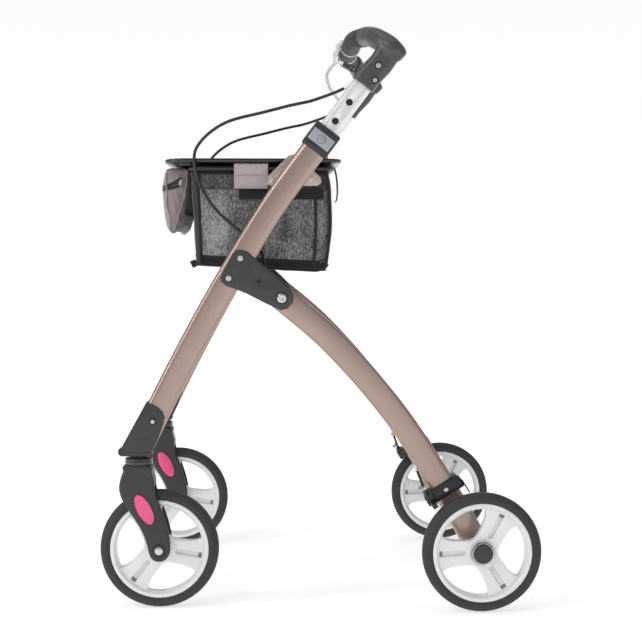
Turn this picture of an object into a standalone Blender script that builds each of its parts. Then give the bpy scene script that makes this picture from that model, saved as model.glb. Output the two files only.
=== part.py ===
"""Folding indoor rollator: two bowed side frames, swivel front wheels, braked rear wheels,
a height-adjustable push bar with a full-width brake lever, and a tray over a hanging mesh bag.

The walker faces -Y, its left side is +X, the floor is z = 0. Lengths below are in millimetres.
"""

from math import cos, pi, radians, sin

import bmesh
import bpy
from mathutils import Matrix, Vector

MM = 0.001

# Driving dimensions
WHEEL_R = 90.0
RIM_R = 75.0
WHEEL_W = 26.0
AXLE_Z = WHEEL_R
FRONT_AXLE_Y, REAR_AXLE_Y = -243.0, 243.0
FRONT_WHEEL_X, REAR_WHEEL_X = 218.0, 264.0
WHEEL_SEGMENTS = 28
AXLE_R = 5.0
FIT = 0.3  # play left between pieces that touch or slide

FRAME_X = 220.0  # middle of the side frame
TUBE_W, TUBE_T, TUBE_WALL = 38.5, 20.0, 1.5
LEG_W, LEG_T = 39.0, 19.2
PIVOT_Y, PIVOT_Z = -57.0, 471.0

CLAMP_Y, CLAMP_Z = 2.7, 708.5
INNER_W, INNER_T, INNER_WALL = 31.0, 14.0, 1.5
HOLE_PITCH = 36.0
SLIDE = Vector((0.0, 0.602, 0.7985)).normalized()  # direction in which the handle is raised
INNER_BELOW, INNER_ABOVE = 84.0, 126.0

BAR_Y, BAR_Z = 58.0, 873.0
BAR_R, FOAM_R = 9.0, 14.5
LEVER_Y, LEVER_Z = 37.5, 873.0

SWIVEL_Y = -274.0
CROWN_TOP, CROWN_BOTTOM = 218.5, 187.0

BASKET_Z = 668.0

FRONT_TUBE = [(13.5, 723.0), (2.7, 708.5), (-33.0, 660.6), (-69.0, 610.0), (-107.0, 549.4), (-152.4, 473.7),
              (-192.5, 401.0), (-230.4, 328.2), (-267.5, 253.0)]
REAR_LEG = [(-73.0, 484.0), (-57.0, 471.0), (7.1, 416.8), (58.2, 363.5), (88.8, 327.7), (116.8, 292.4),
            (142.4, 256.2), (166.0, 220.0), (206.0, 155.5), (243.0, 90.0)]

for old in list(bpy.data.objects):
    bpy.data.objects.remove(old, do_unlink=True)

PARTS = bpy.data.collections.new("rollator_walker")
CUTTERS = bpy.data.collections.new("cutters")
for made in (PARTS, CUTTERS):
    bpy.context.scene.collection.children.link(made)
CUTTERS.hide_render = True


def material(name, colour, roughness, metallic=0.0):
    made = bpy.data.materials.new(name)
    made.use_nodes = True
    shader = made.node_tree.nodes["Principled BSDF"]
    shader.inputs["Base Color"].default_value = (*colour, 1.0)
    shader.inputs["Roughness"].default_value = roughness
    shader.inputs["Metallic"].default_value = metallic
    made.diffuse_color = (*colour, 1.0)
    return made


CHAMPAGNE = material("champagne_aluminium", (0.38, 0.27, 0.23), 0.35, 0.9)
SILVER = material("silver_aluminium", (0.75, 0.74, 0.74), 0.35, 1.0)
STEEL = material("zinc_steel", (0.6, 0.6, 0.6), 0.3, 1.0)
DARK = material("dark_grey_plastic", (0.06, 0.06, 0.063), 0.55)
BLACK = material("black_plastic", (0.02, 0.02, 0.02), 0.45)
FOAM = material("black_foam", (0.015, 0.015, 0.016), 0.9)
RUBBER = material("tyre_rubber", (0.05, 0.048, 0.048), 0.8)
RIM = material("rim_plastic", (0.75, 0.75, 0.75), 0.4)
PINK = material("pink_reflector", (0.8, 0.04, 0.18), 0.25)
MESH = material("bag_mesh", (0.12, 0.12, 0.12), 0.9)
TAUPE = material("taupe_fabric", (0.3, 0.24, 0.235), 0.9)
GREY = material("grey_plastic", (0.38, 0.4, 0.43), 0.5)

TO_SIDE = Matrix(((0, 0, 1, 0), (1, 0, 0, 0), (0, 1, 0, 0), (0, 0, 0, 1)))  # local x, y, z to world Y, Z, X


def put(name, mesh, finish, cutter=False, origin=(0.0, 0.0, 0.0)):
    """An object from a mesh given in world millimetres, with its origin where it turns or sits."""
    mesh.transform(Matrix.Scale(MM, 4) @ Matrix.Translation(-Vector(origin)))
    work = bmesh.new()
    work.from_mesh(mesh)
    if work.calc_volume(signed=True) < 0:
        bmesh.ops.reverse_faces(work, faces=work.faces)
        work.to_mesh(mesh)
    work.free()
    mesh.name = name
    made = bpy.data.objects.new(name, mesh)
    made.location = Vector(origin) * MM
    (CUTTERS if cutter else PARTS).objects.link(made)
    if cutter:
        made.hide_render = True
        made.display_type = "WIRE"
    else:
        mesh.materials.clear()
        mesh.materials.append(finish)
    return made


def from_curve(curve):
    """The closed mesh of a curve, with its caps welded on."""
    holder = bpy.data.objects.new("holder", curve)
    bpy.context.scene.collection.objects.link(holder)
    bpy.context.view_layer.update()
    mesh = bpy.data.meshes.new_from_object(holder.evaluated_get(bpy.context.evaluated_depsgraph_get()))
    bpy.data.objects.remove(holder)
    work = bmesh.new()
    work.from_mesh(mesh)
    bmesh.ops.remove_doubles(work, verts=work.verts, dist=0.01)
    bmesh.ops.recalc_face_normals(work, faces=work.faces)
    work.to_mesh(mesh)
    work.free()
    return mesh


def smooth_path(points, steps):
    """Points of one smooth curve through the given ones (Catmull-Rom)."""
    points = [Vector(p) for p in points]
    ends = [points[0] * 2 - points[1]] + points + [points[-1] * 2 - points[-2]]
    found = []
    for i in range(1, len(ends) - 2):
        a, b, c, d = ends[i - 1 : i + 3]
        for k in range(steps):
            t = k / steps
            found.append(0.5 * (2 * b + (c - a) * t + (2 * a - 5 * b + 4 * c - d) * t * t + (3 * b - a - 3 * c + d) * t**3))
    return found + [points[-1]]


def oval(width, thick, corner, arcs=3):
    """Outline of a flat oval: width across, thick the other way, with round corners."""
    found = []
    for cx, cy, start in ((1, 1, 0), (-1, 1, 90), (-1, -1, 180), (1, -1, 270)):
        for k in range(arcs + 1):
            a = radians(start + 90 * k / arcs)
            found.append((cx * (width / 2 - corner) + corner * cos(a), cy * (thick / 2 - corner) + corner * sin(a)))
    return found


def poly_spline(curve, points, cyclic=False, radii=None):
    spline = curve.splines.new("POLY")
    spline.points.add(len(points) - 1)
    for i, p in enumerate(points):
        p = tuple(p)
        spline.points[i].co = (p[0], p[1], p[2] if len(p) > 2 else 0.0, 1.0)
        if radii:
            spline.points[i].radius = radii[i]
    spline.use_cyclic_u = cyclic
    return spline


def side_sweep(path, x, width, thick, corner, arcs=3):
    """A flat-oval bar that follows a side-view path of (y, z)."""
    section = bpy.data.curves.new("section", "CURVE")
    section.dimensions = "2D"
    poly_spline(section, oval(width, thick, corner, arcs), cyclic=True)
    holder = bpy.data.objects.new("section", section)
    curve = bpy.data.curves.new("sweep", "CURVE")
    curve.dimensions = "2D"
    curve.bevel_mode = "OBJECT"
    curve.bevel_object = holder
    curve.use_fill_caps = True
    poly_spline(curve, path)
    mesh = from_curve(curve)
    bpy.data.objects.remove(holder)
    mesh.transform(Matrix.Translation((x, 0, 0)) @ TO_SIDE)
    return mesh


def side_plate(outlines, x0, x1):
    """A plate of side-view outlines (y, z) between two planes of X; inner outlines are holes."""
    curve = bpy.data.curves.new("plate", "CURVE")
    curve.dimensions = "2D"
    curve.fill_mode = "BOTH"
    curve.extrude = abs(x1 - x0) / 2
    for outline in outlines:
        poly_spline(curve, outline, cyclic=True)
    mesh = from_curve(curve)
    mesh.transform(Matrix.Translation(((x0 + x1) / 2, 0, 0)) @ TO_SIDE)
    return mesh


def wire(points, radius, resolution=2, radii=None, cyclic=False):
    curve = bpy.data.curves.new("wire", "CURVE")
    curve.dimensions = "3D"
    curve.bevel_depth = radius
    curve.bevel_resolution = resolution
    curve.use_fill_caps = not cyclic
    poly_spline(curve, points, cyclic=cyclic, radii=radii)
    return from_curve(curve)


def cylinder(start, end, radius, segments=16, radius2=None):
    start, end = Vector(start), Vector(end)
    work = bmesh.new()
    bmesh.ops.create_cone(work, cap_ends=True, segments=segments, radius1=radius,
                          radius2=radius if radius2 is None else radius2, depth=(end - start).length)
    turn = (end - start).to_track_quat("Z", "Y").to_matrix().to_4x4()
    bmesh.ops.transform(work, matrix=Matrix.Translation((start + end) / 2) @ turn, verts=work.verts)
    mesh = bpy.data.meshes.new("cylinder")
    work.to_mesh(mesh)
    work.free()
    return mesh


def block(low, high, bevel=0.0, segments=2):
    low, high = Vector(low), Vector(high)
    work = bmesh.new()
    bmesh.ops.create_cube(work, size=1.0)
    size = high - low
    bmesh.ops.transform(work, matrix=Matrix.Translation((low + high) / 2) @ Matrix.Diagonal((*size, 1.0)), verts=work.verts)
    if bevel:
        bmesh.ops.bevel(work, geom=list(work.edges), offset=bevel, segments=segments, affect="EDGES", profile=0.5)
    mesh = bpy.data.meshes.new("block")
    work.to_mesh(mesh)
    work.free()
    return mesh


def turned(profile, centre, segments=WHEEL_SEGMENTS):
    """A ring or disc turned about X: profile of (radius, x) as a closed loop."""
    mesh = bpy.data.meshes.new("turned")
    work = bmesh.new()
    loop = [work.verts.new((x, r, 0.0)) for r, x in profile]
    for i, vert in enumerate(loop):
        work.edges.new((vert, loop[(i + 1) % len(loop)]))
    bmesh.ops.spin(work, geom=list(work.verts) + list(work.edges), angle=2 * pi, steps=segments, axis=(1, 0, 0),
                   cent=(0, 0, 0), use_merge=True)
    bmesh.ops.remove_doubles(work, verts=work.verts, dist=0.001)
    bmesh.ops.recalc_face_normals(work, faces=work.faces)
    bmesh.ops.translate(work, vec=Vector(centre), verts=work.verts)
    work.to_mesh(mesh)
    work.free()
    return mesh


CUT_COUNT = 0


def boolean(target, mesh, operation="DIFFERENCE"):
    """Cuts or joins a mesh, given in world millimetres, into a piece."""
    global CUT_COUNT
    CUT_COUNT += 1
    tool = put(f"tool_{CUT_COUNT:03d}_{target.name}"[:58], mesh, None, cutter=True)
    change = target.modifiers.new(f"{operation.lower()}_{CUT_COUNT}", "BOOLEAN")
    change.operation = operation
    change.solver = "EXACT"
    change.object = tool
    return target


# ---- left side frame -------------------------------------------------------------------
front_path = smooth_path(FRONT_TUBE, 1)
front_tube = put("front_tube_l", side_sweep(front_path, FRAME_X, TUBE_W, TUBE_T, 9.5), CHAMPAGNE)
first, last = front_path[0], front_path[-1]
bore = [first + (first - front_path[1]).normalized() * 5] + front_path[1:-1] + [last + (last - front_path[-2]).normalized() * 5]
boolean(front_tube, side_sweep(bore, FRAME_X, TUBE_W - 2 * TUBE_WALL, TUBE_T - 2 * TUBE_WALL, 8.0))

OUTER_PLATE = [(-118.0, 544.0), (-108.0, 541.0), (-97.0, 531.0), (-59.0, 500.0), (-45.0, 486.0), (-38.5, 474.0), (-40.5, 464.0),
               (-48.0, 455.5), (-58.0, 452.5), (-83.0, 464.0), (-110.0, 478.0), (-130.0, 486.0), (-140.0, 489.0), (-148.0, 496.0),
               (-149.0, 503.0), (-131.0, 538.0), (-126.0, 543.0)]
RAISED = [(-108.0, 538.0), (-97.0, 528.5), (-60.5, 498.0), (-47.0, 484.5), (-41.0, 474.0), (-42.5, 465.5), (-49.0, 458.0),
          (-58.0, 455.0), (-82.5, 466.5), (-110.0, 480.5), (-128.0, 487.5), (-121.0, 504.0)]
outer = put("joint_plate_outer_l", side_plate([OUTER_PLATE], 230.3, 233.8), DARK)
boolean(outer, side_plate([RAISED], 232.0, 236.3), "UNION")
inner = put("joint_plate_inner_l", side_plate([OUTER_PLATE], 206.2, 209.7), DARK)
pin = lambda x0, x1, r, y, z, n=12: cylinder((x0, y, z), (x1, y, z), r, n)
LOCK_Y, LOCK_Z = -91.0, 497.0
boolean(outer, pin(228, 238, 3.2, LOCK_Y, LOCK_Z))
for plate in (outer, inner):
    boolean(plate, pin(204, 240, 4.3, PIVOT_Y, PIVOT_Z))

bolt = put("pivot_bolt_l", pin(182.0, 238.2, 4.0, PIVOT_Y, PIVOT_Z, 12), STEEL, origin=(FRAME_X, PIVOT_Y, PIVOT_Z))
boolean(bolt, pin(236.6, 239.4, 7.0, PIVOT_Y, PIVOT_Z, 16), "UNION")
boolean(bolt, pin(237.8, 241.0, 2.6, PIVOT_Y, PIVOT_Z, 6))

cross = put("front_cross_tube", cylinder((-209.4, -137.0, 501.0), (209.4, -137.0, 501.0), 10.0, 16), CHAMPAGNE)
boolean(cross, cylinder((-215, -137.0, 501.0), (215, -137.0, 501.0), 8.2, 16))
boolean(inner, cylinder((204.0, -137.0, 501.0), (212.0, -137.0, 501.0), 10.3, 16))

HOUSING = [(-261.2, 314.4), (-256.0, 312.5), (-243.0, 305.6), (-236.7, 299.5), (-233.7, 292.0), (-235.2, 282.5), (-242.8, 261.0),
           (-253.5, 238.0), (-256.0, 234.0), (-299.0, 234.0), (-302.5, 237.0), (-300.5, 243.0)]
housing = put("caster_housing_l", side_plate([HOUSING], 205.7, 234.3), DARK)
boolean(housing, side_sweep(front_path[:-1] + [last + (last - front_path[-2]).normalized() * FIT], FRAME_X, TUBE_W + 2 * FIT, TUBE_T + 2 * FIT, 9.8))
boolean(housing, cylinder((FRAME_X, SWIVEL_Y, 229.6), (FRAME_X, SWIVEL_Y, 240.0), 13.0, 16), "UNION")
boolean(housing, cylinder((FRAME_X, SWIVEL_Y, 225.0), (FRAME_X, SWIVEL_Y, 246.0), 6.3, 16))

clamp_frame = Matrix.Translation((FRAME_X, CLAMP_Y, CLAMP_Z)) @ Matrix(
    ((1, 0, 0, 0), (0, SLIDE.z, SLIDE.y, 0), (0, -SLIDE.y, SLIDE.z, 0), (0, 0, 0, 1)))
body = block((-14.2, -22.2, -20.0), (14.2, 22.2, 20.0), 3.0)
body.transform(clamp_frame)
clamp = put("height_clamp_l", body, DARK)
boolean(clamp, side_sweep([first + (first - front_path[1]).normalized() * FIT] + front_path[1:], FRAME_X, TUBE_W + 2 * FIT, TUBE_T + 2 * FIT, 9.8))
slot = side_sweep([(CLAMP_Y + SLIDE.y * t, CLAMP_Z + SLIDE.z * t) for t in (-30.0, 40.0)], FRAME_X, INNER_W + 0.8, INNER_T + 0.8, 7.2)
boolean(clamp, slot)
boolean(clamp, pin(229, 240, 6.8, CLAMP_Y, CLAMP_Z, 16))
boolean(front_tube, pin(227, 240, 6.8, CLAMP_Y, CLAMP_Z, 16))
button = put("clamp_button_l", pin(230.6, 236.4, 6.4, CLAMP_Y, CLAMP_Z, 16), GREY, origin=(233.0, CLAMP_Y, CLAMP_Z))

BASKET_PLATE = [(-80.0, 648.0), (-77.0, 655.0), (-46.0, 686.0), (-37.0, 688.0), (-29.0, 683.0), (2.0, 654.0), (4.0, 646.0),
                (-2.0, 640.5), (-73.0, 640.5), (-79.0, 643.0)]
hook = put("basket_plate_l", side_plate([BASKET_PLATE], 206.5, 209.7), CHAMPAGNE)
for y in (-66.0, -11.0):
    boolean(hook, pin(188.4, 207.5, 4.5, y, BASKET_Z - 14.0), "UNION")

# ---- handle ------------------------------------------------------------------------------
along = lambda t: (CLAMP_Y + SLIDE.y * t, CLAMP_Z + SLIDE.z * t)
inner_tube = put("handle_tube_l", side_sweep([along(-INNER_BELOW), along(INNER_ABOVE)], FRAME_X, INNER_W, INNER_T, 6.8), SILVER)
boolean(inner_tube, side_sweep([along(-INNER_BELOW - 10), along(INNER_ABOVE + 10)], FRAME_X, INNER_W - 2 * INNER_WALL, INNER_T - 2 * INNER_WALL, 5.3, 2))
for k in (-2, -1, 0, 1, 2):
    boolean(inner_tube, pin(205, 235, 4.4, *along(k * HOLE_PITCH - 0.8 * k), 10))

STEM_START = 103.0
stem_path = [along(STEM_START), (97.0, 829.0), (103.0, 838.0)]
elbow = put("handle_elbow_l", side_sweep(stem_path, FRAME_X, 38.0, 26.0, 10.0), DARK)
TOP = [((227.0, 120.0, 836.0), 12.5), ((226.0, 112.0, 842.0), 15.0), ((219.0, 100.0, 852.5), 16.5), ((203.0, 89.0, 862.5), 16.0),
       ((180.0, 80.5, 869.5), 15.6), ((152.5, 73.0, 872.6), 15.2)]
boolean(elbow, wire([p for p, r in TOP], 1.0, 3, [r for p, r in TOP]), "UNION")
boolean(elbow, side_sweep([along(STEM_START - 10), along(INNER_ABOVE + FIT)], FRAME_X, INNER_W + 2 * FIT, INNER_T + 2 * FIT, 7.1))

half = [(0.0, BAR_Y, BAR_Z), (60.0, 57.5, BAR_Z), (100.0, 58.0, BAR_Z), (122.0, 61.0, BAR_Z), (138.0, 66.0, 872.8), (152.0, 72.8, 872.6)]
bar_path = [Vector((-x, y, z)) for x, y, z in reversed(half[1:])] + [Vector(p) for p in half]
into = Vector((24.0, 9.0, -1.6))
whole = [bar_path[0] + Vector((-into.x, into.y, into.z))] + bar_path + [bar_path[-1] + into]
bar = put("handle_bar", wire(smooth_path(whole, 2), BAR_R, 2), SILVER)
socket = smooth_path(whole, 2)
socket = [socket[0] * 1.5 - socket[1] * 0.5] + socket + [socket[-1] * 1.1 - socket[-2] * 0.1]
boolean(elbow, wire(socket, BAR_R + 0.6, 2))
foam_path = [Vector((-147.5, 70.6, 872.7))] + bar_path[1:-1] + [Vector((147.5, 70.6, 872.7))]
foam = put("grip_foam", wire(smooth_path(foam_path, 2), FOAM_R, 3), FOAM)
boolean(foam, wire(socket, BAR_R + 0.4, 2))

bracket = put("lever_bracket_l", turned([(FOAM_R + 0.4, -2.6), (FOAM_R + 2.0, -2.6), (FOAM_R + 2.0, 2.6), (FOAM_R + 0.4, 2.6)], (43.0, 57.6, BAR_Z), 24), SILVER)
boolean(bracket, cylinder((40.4, LEVER_Y, LEVER_Z), (45.6, LEVER_Y, LEVER_Z), 5.0, 12), "UNION")
boolean(bracket, cylinder((38.0, LEVER_Y, LEVER_Z), (48.0, LEVER_Y, LEVER_Z), 2.9, 12))
boolean(bracket, cylinder((30.0, 57.6, BAR_Z), (60.0, 57.6, BAR_Z), FOAM_R + 0.4, 24))

lever = put("brake_lever", cylinder((-54.0, LEVER_Y, LEVER_Z), (54.0, LEVER_Y, LEVER_Z), 2.5, 12), SILVER, origin=(0.0, LEVER_Y, LEVER_Z))
for s in (-1, 1):
    arm = side_plate([[(39.5, 875.4), (36.0, 875.8), (34.0, 873.0), (33.6, 866.0), (32.8, 860.0), (35.6, 859.5), (38.6, 869.0), (40.3, 873.0)]],
                     s * 48.5, s * 53.5)
    boolean(lever, arm, "UNION")
blade = bpy.data.curves.new("blade", "CURVE")
blade_section = bpy.data.curves.new("blade_section", "CURVE")
blade_section.dimensions = "2D"
poly_spline(blade_section, oval(17.0, 3.0, 1.4, 2), cyclic=True)
section_holder = bpy.data.objects.new("blade_section", blade_section)
blade.dimensions = "2D"
blade.bevel_mode = "OBJECT"
blade.bevel_object = section_holder
blade.use_fill_caps = True
poly_spline(blade, [(-128.0, 5.0), (-110.0, 1.5), (-60.0, 0.0), (0.0, 0.0), (60.0, 0.0), (110.0, 1.5), (128.0, 5.0)])
blade_mesh = from_curve(blade)
bpy.data.objects.remove(section_holder)
blade_mesh.transform(Matrix.Translation((0.0, 34.0, 859.5)) @ Matrix.Rotation(radians(71), 4, "X"))
boolean(lever, blade_mesh, "UNION")

CABLE = [(211.0, 50.5, 794.0), (208.0, 36.0, 786.5), (205.0, 19.0, 779.5), (203.0, -12.0, 769.0), (202.5, -44.0, 762.0), (202.0, -83.0, 752.0),
         (201.5, -134.0, 739.0), (201.5, -164.0, 722.0), (201.5, -183.0, 702.0), (201.5, -189.0, 684.0), (201.5, -186.0, 660.0),
         (201.5, -175.0, 631.0), (201.5, -155.0, 603.0), (202.0, -130.0, 580.0), (203.5, -104.0, 559.0), (206.0, -89.0, 543.0), (213.4, -84.0, 529.0),
         (214.8, -81.0, 516.0), (215.0, -80.0, 506.0)]
put("brake_cable_l", wire(smooth_path(CABLE, 2), 2.4, 2), BLACK)
LINK = [(208.0, 53.0, 815.5), (195.0, 40.0, 825.0), (175.0, 30.0, 831.0), (150.0, 25.6, 831.0), (105.0, 20.0, 828.5), (60.0, 18.0, 824.6),
        (0.0, 22.0, 820.5), (-60.0, 28.4, 817.0), (-110.0, 39.0, 811.0), (-150.0, 49.0, 804.7), (-183.0, 55.0, 802.5), (-206.5, 57.0, 806.0)]
link = wire(smooth_path(LINK, 2), 2.6, 2)
put("link_cable", link, GREY)

# ---- front caster ------------------------------------------------------------------------
FORK = [(-297.0, CROWN_TOP), (-255.0, CROWN_TOP), (-250.5, 205.0), (-249.0, 181.0), (-239.0, 153.0), (-230.0, 124.0), (-226.0, 102.0),
        (-226.5, 84.0), (-234.0, 75.0), (-243.0, 72.5), (-252.0, 77.0), (-260.0, 98.0), (-271.0, 124.0), (-284.0, 149.0), (-297.0, 168.0), (-303.0, 192.0)]
W = FRONT_WHEEL_X
SX = FRAME_X  # swivel axis
fork = put("fork_l", side_plate([FORK], W - 23.5, W + 23.5), DARK, origin=(SX, SWIVEL_Y, CROWN_TOP))
boolean(fork, block((W - 17.3, -330.0, 40.0), (W + 17.3, -200.0, CROWN_BOTTOM)))
boolean(fork, cylinder((SX, SWIVEL_Y, 222.0), (SX, SWIVEL_Y, 180.0), 6.3, 16))
boolean(fork, pin(W - 30, W + 30, AXLE_R + FIT, FRONT_AXLE_Y, AXLE_Z, 16))
stem = put("caster_stem_l", cylinder((SX, SWIVEL_Y, 190.0), (SX, SWIVEL_Y, 245.5), 6.0, 16), STEEL, origin=(SX, SWIVEL_Y, 220.0))
boolean(stem, cylinder((SX, SWIVEL_Y, 219.0), (SX, SWIVEL_Y, 229.2), 20.5, 20), "UNION")
reflector_outline = []
for k in range(20):
    a = 2 * pi * k / 20
    u, v = 25.0 * cos(a), 11.0 * sin(a)
    tilt = radians(-63)
    reflector_outline.append((-264.5 + u * cos(tilt) - v * sin(tilt), 153.0 + u * sin(tilt) + v * cos(tilt)))
put("reflector_l", side_plate([reflector_outline], W + 23.8, W + 25.8), PINK)


def wheel(name, x, y, turn):
    """Rim with three double spokes, and its tyre."""
    h = WHEEL_W / 2
    rim = put(f"{name}_rim_l", turned([(RIM_R - 0.4, -h + 2), (RIM_R - 0.4, h - 2), (RIM_R - 8.0, h - 3.5), (RIM_R - 9.0, h - 6), (RIM_R - 9.0, -h + 6), (RIM_R - 8.0, -h + 3.5)], (x, y, AXLE_Z)), RIM, origin=(x, y, AXLE_Z))
    def ring(r, n):
        return [(y + r * cos(2 * pi * k / n), AXLE_Z + r * sin(2 * pi * k / n)) for k in range(n)]
    def polar(pairs):
        return [(y + r * cos(radians(a)), AXLE_Z + r * sin(radians(a))) for r, a in pairs]
    holes = []
    for k in range(3):
        c = turn + 120 * k
        outer_arc = [(68.5, c + a) for a in (21, 34, 47, 60, 73, 86, 99)]
        inner_arc = [(45.0, c + 97), (30.0, c + 88), (23.0, c + 74), (21.0, c + 60), (23.0, c + 46), (30.0, c + 32), (45.0, c + 23)]
        holes.append(polar(outer_arc + inner_arc))
        holes.append(polar([(62.0, c + 5.0), (28.0, c + 5.5), (28.0, c - 5.5), (62.0, c - 5.0)]))
    boolean(rim, side_plate([ring(70.5, 32)] + holes, x - 5.5, x + 5.5), "UNION")
    boolean(rim, cylinder((x - 11.5, y, AXLE_Z), (x + 11.5, y, AXLE_Z), 15.0, 20), "UNION")
    boolean(rim, cylinder((x - 20, y, AXLE_Z), (x + 20, y, AXLE_Z), AXLE_R + FIT, 16))
    tyre = [(RIM_R, -h + 1.5), (RIM_R + 5, -h), (RIM_R + 11, -h + 2.5), (WHEEL_R, -4.0), (WHEEL_R, 4.0), (RIM_R + 11, h - 2.5), (RIM_R + 5, h), (RIM_R, h - 1.5)]
    put(f"{name}_tyre_l", turned(tyre, (x, y, AXLE_Z)), RUBBER, origin=(x, y, AXLE_Z))


wheel("front", W, FRONT_AXLE_Y, -10.0)
axle = put("front_axle_l", pin(W - 26.5, W + 26.5, AXLE_R, FRONT_AXLE_Y, AXLE_Z, 16), STEEL, origin=(W, FRONT_AXLE_Y, AXLE_Z))
boolean(axle, pin(W + 23.8, W + 27.2, 8.0, FRONT_AXLE_Y, AXLE_Z, 16), "UNION")
boolean(axle, pin(W - 27.2, W - 23.8, 8.0, FRONT_AXLE_Y, AXLE_Z, 16), "UNION")

# ---- rear frame -------------------------------------------------------------------------
leg_path = smooth_path(REAR_LEG, 1)
leg = put("rear_leg_l", side_sweep(leg_path, FRAME_X, LEG_W, LEG_T, 9.3), CHAMPAGNE, origin=(FRAME_X, PIVOT_Y, PIVOT_Z))
boolean(leg, pin(FRAME_X - LEG_T / 2 + 0.6, FRAME_X + LEG_T / 2 - 0.6, 19.4, REAR_AXLE_Y, AXLE_Z, 20), "UNION")
boolean(leg, pin(204, 240, 4.3, PIVOT_Y, PIVOT_Z))
boolean(leg, pin(204, 240, AXLE_R + FIT, REAR_AXLE_Y, AXLE_Z, 16))
rear_cross = put("rear_cross_tube", cylinder((-205.9, PIVOT_Y, PIVOT_Z), (205.9, PIVOT_Y, PIVOT_Z), 10.0, 16), CHAMPAGNE, origin=(0.0, PIVOT_Y, PIVOT_Z))
boolean(rear_cross, cylinder((-178, PIVOT_Y, PIVOT_Z), (178, PIVOT_Y, PIVOT_Z), 8.0, 16))
boolean(rear_cross, cylinder((-210, PIVOT_Y, PIVOT_Z), (210, PIVOT_Y, PIVOT_Z), 4.3, 12))

R = REAR_WHEEL_X
wheel("rear", R, REAR_AXLE_Y, 62.0)
axle = put("rear_axle_l", pin(206.5, R + 16.0, AXLE_R, REAR_AXLE_Y, AXLE_Z, 16), STEEL, origin=(R, REAR_AXLE_Y, AXLE_Z))
boolean(axle, pin(230.2, R - 12.2, 9.0, REAR_AXLE_Y, AXLE_Z, 16), "UNION")
boolean(axle, pin(R + 12.2, R + 17.0, 16.5, REAR_AXLE_Y, AXLE_Z, 24), "UNION")

# Brake: a clamp round the leg guides a sprung shoe, which the cable pulls onto the tyre.
leg_at = Vector((0.0, 190.0, 181.5))
down = Vector((0.0, 0.527, -0.850)).normalized()
across = Vector((0.0, -down.z, down.y))  # towards the rear and up
clamp_axes = Matrix.Translation((FRAME_X, leg_at.y, leg_at.z)) @ Matrix(((1, 0, 0, 0), (0, across.y, down.y, 0), (0, across.z, down.z, 0), (0, 0, 0, 1)))
body = block((-14.5, -33.0, -8.0), (13.0, 26.5, 8.0), 2.0)
body.transform(clamp_axes)
brake_clamp = put("brake_clamp_l", body, BLACK)
boolean(brake_clamp, side_sweep(leg_path, FRAME_X, LEG_W + 2 * FIT, LEG_T + 2 * FIT, 9.6))
guide = block((6.0, -32.2, -7.0), (30.0, -20.6, 2.2), 1.0, 1)
guide.transform(clamp_axes)
boolean(brake_clamp, guide, "UNION")
boolean(brake_clamp, cylinder(clamp_axes @ Vector((22.0, -26.5, -12.0)), clamp_axes @ Vector((22.0, -26.5, 6.0)), 3.4, 12))
shoe = block((15.0, -30.5, 5.0), (48.0, -22.5, 13.0), 1.2, 1)
shoe.transform(clamp_axes)
SHOE_AT = clamp_axes @ Vector((22.0, -26.5, 5.0))
arm = put("brake_shoe_l", shoe, BLACK, origin=tuple(SHOE_AT))
boolean(arm, cylinder(clamp_axes @ Vector((22.0, -26.5, -13.5)), clamp_axes @ Vector((22.0, -26.5, 7.0)), 3.0, 12), "UNION")

LOWER = [(207.0, 140.0, 238.0), (206.0, 146.0, 224.0), (206.0, 149.0, 212.0), (208.0, 152.5, 200.0), (214.0, 156.0, 190.5), (221.0, 158.0, 184.5)]
put("lower_cable_l", wire(smooth_path(LOWER, 2), 2.0, 2), BLACK)

# ---- right side: the mirror image of the left ---------------------------------------------
bpy.context.view_layer.update()
graph = bpy.context.evaluated_depsgraph_get()
for source in [o for o in PARTS.objects if o.name.endswith("_l")]:
    mirrored = bpy.data.meshes.new_from_object(source.evaluated_get(graph))
    mirrored.transform(Matrix.Diagonal((-1.0, 1.0, 1.0, 1.0)))
    mirrored.flip_normals()
    mirrored.name = source.name[:-2] + "_r"
    twin = bpy.data.objects.new(mirrored.name, mirrored)
    twin.location = (-source.location.x, source.location.y, source.location.z)
    PARTS.objects.link(twin)

# ---- basket, bag and tray ----------------------------------------------------------------
def rounded_loop(x, y0, y1, z, corner, arcs=4):
    found = []
    for cx, cy, start in ((1, 1, 0), (-1, 1, 90), (-1, 0, 180), (1, 0, 270)):
        ox = cx * (x - corner)
        oy = (y1 - corner) if cy else (y0 + corner)
        for k in range(arcs + 1):
            a = radians(start + 90 * k / arcs)
            found.append((ox + corner * cos(a), oy + corner * sin(a), z))
    return found


def slab(x, y0, y1, z0, z1, corner, grow=0.0):
    """A block with round corners seen from above; grow widens its top."""
    curve = bpy.data.curves.new("slab", "CURVE")
    curve.dimensions = "2D"
    curve.fill_mode = "BOTH"
    curve.extrude = (z1 - z0) / 2
    poly_spline(curve, [(p[0], p[1]) for p in rounded_loop(x, y0, y1, 0.0, corner)], cyclic=True)
    mesh = from_curve(curve)
    mesh.transform(Matrix.Translation((0, 0, (z0 + z1) / 2)))
    return mesh


put("basket_frame", wire(rounded_loop(184.0, -197.0, 20.0, BASKET_Z, 24.0), 4.0, 2, cyclic=True), BLACK)
bag = put("mesh_bag", slab(178.5, -191.0, 14.0, 512.0, 671.5, 18.0), MESH)
boolean(bag, slab(175.5, -188.0, 11.0, 515.0, 690.0, 15.0))
pocket_outline = [(-236.0, 667.0), (-229.0, 671.0), (-203.0, 671.5), (-203.0, 574.0), (-220.0, 566.5), (-227.0, 568.5), (-231.5, 590.0), (-236.5, 622.0)]
put("front_pocket", side_plate([pocket_outline], -150.0, 150.0), TAUPE)
tray = put("tray", slab(192.0, -236.0, 36.0, 672.6, 683.0, 30.0), BLACK)
boolean(tray, slab(189.5, -233.5, 33.5, 675.2, 700.0, 27.5))
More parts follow.
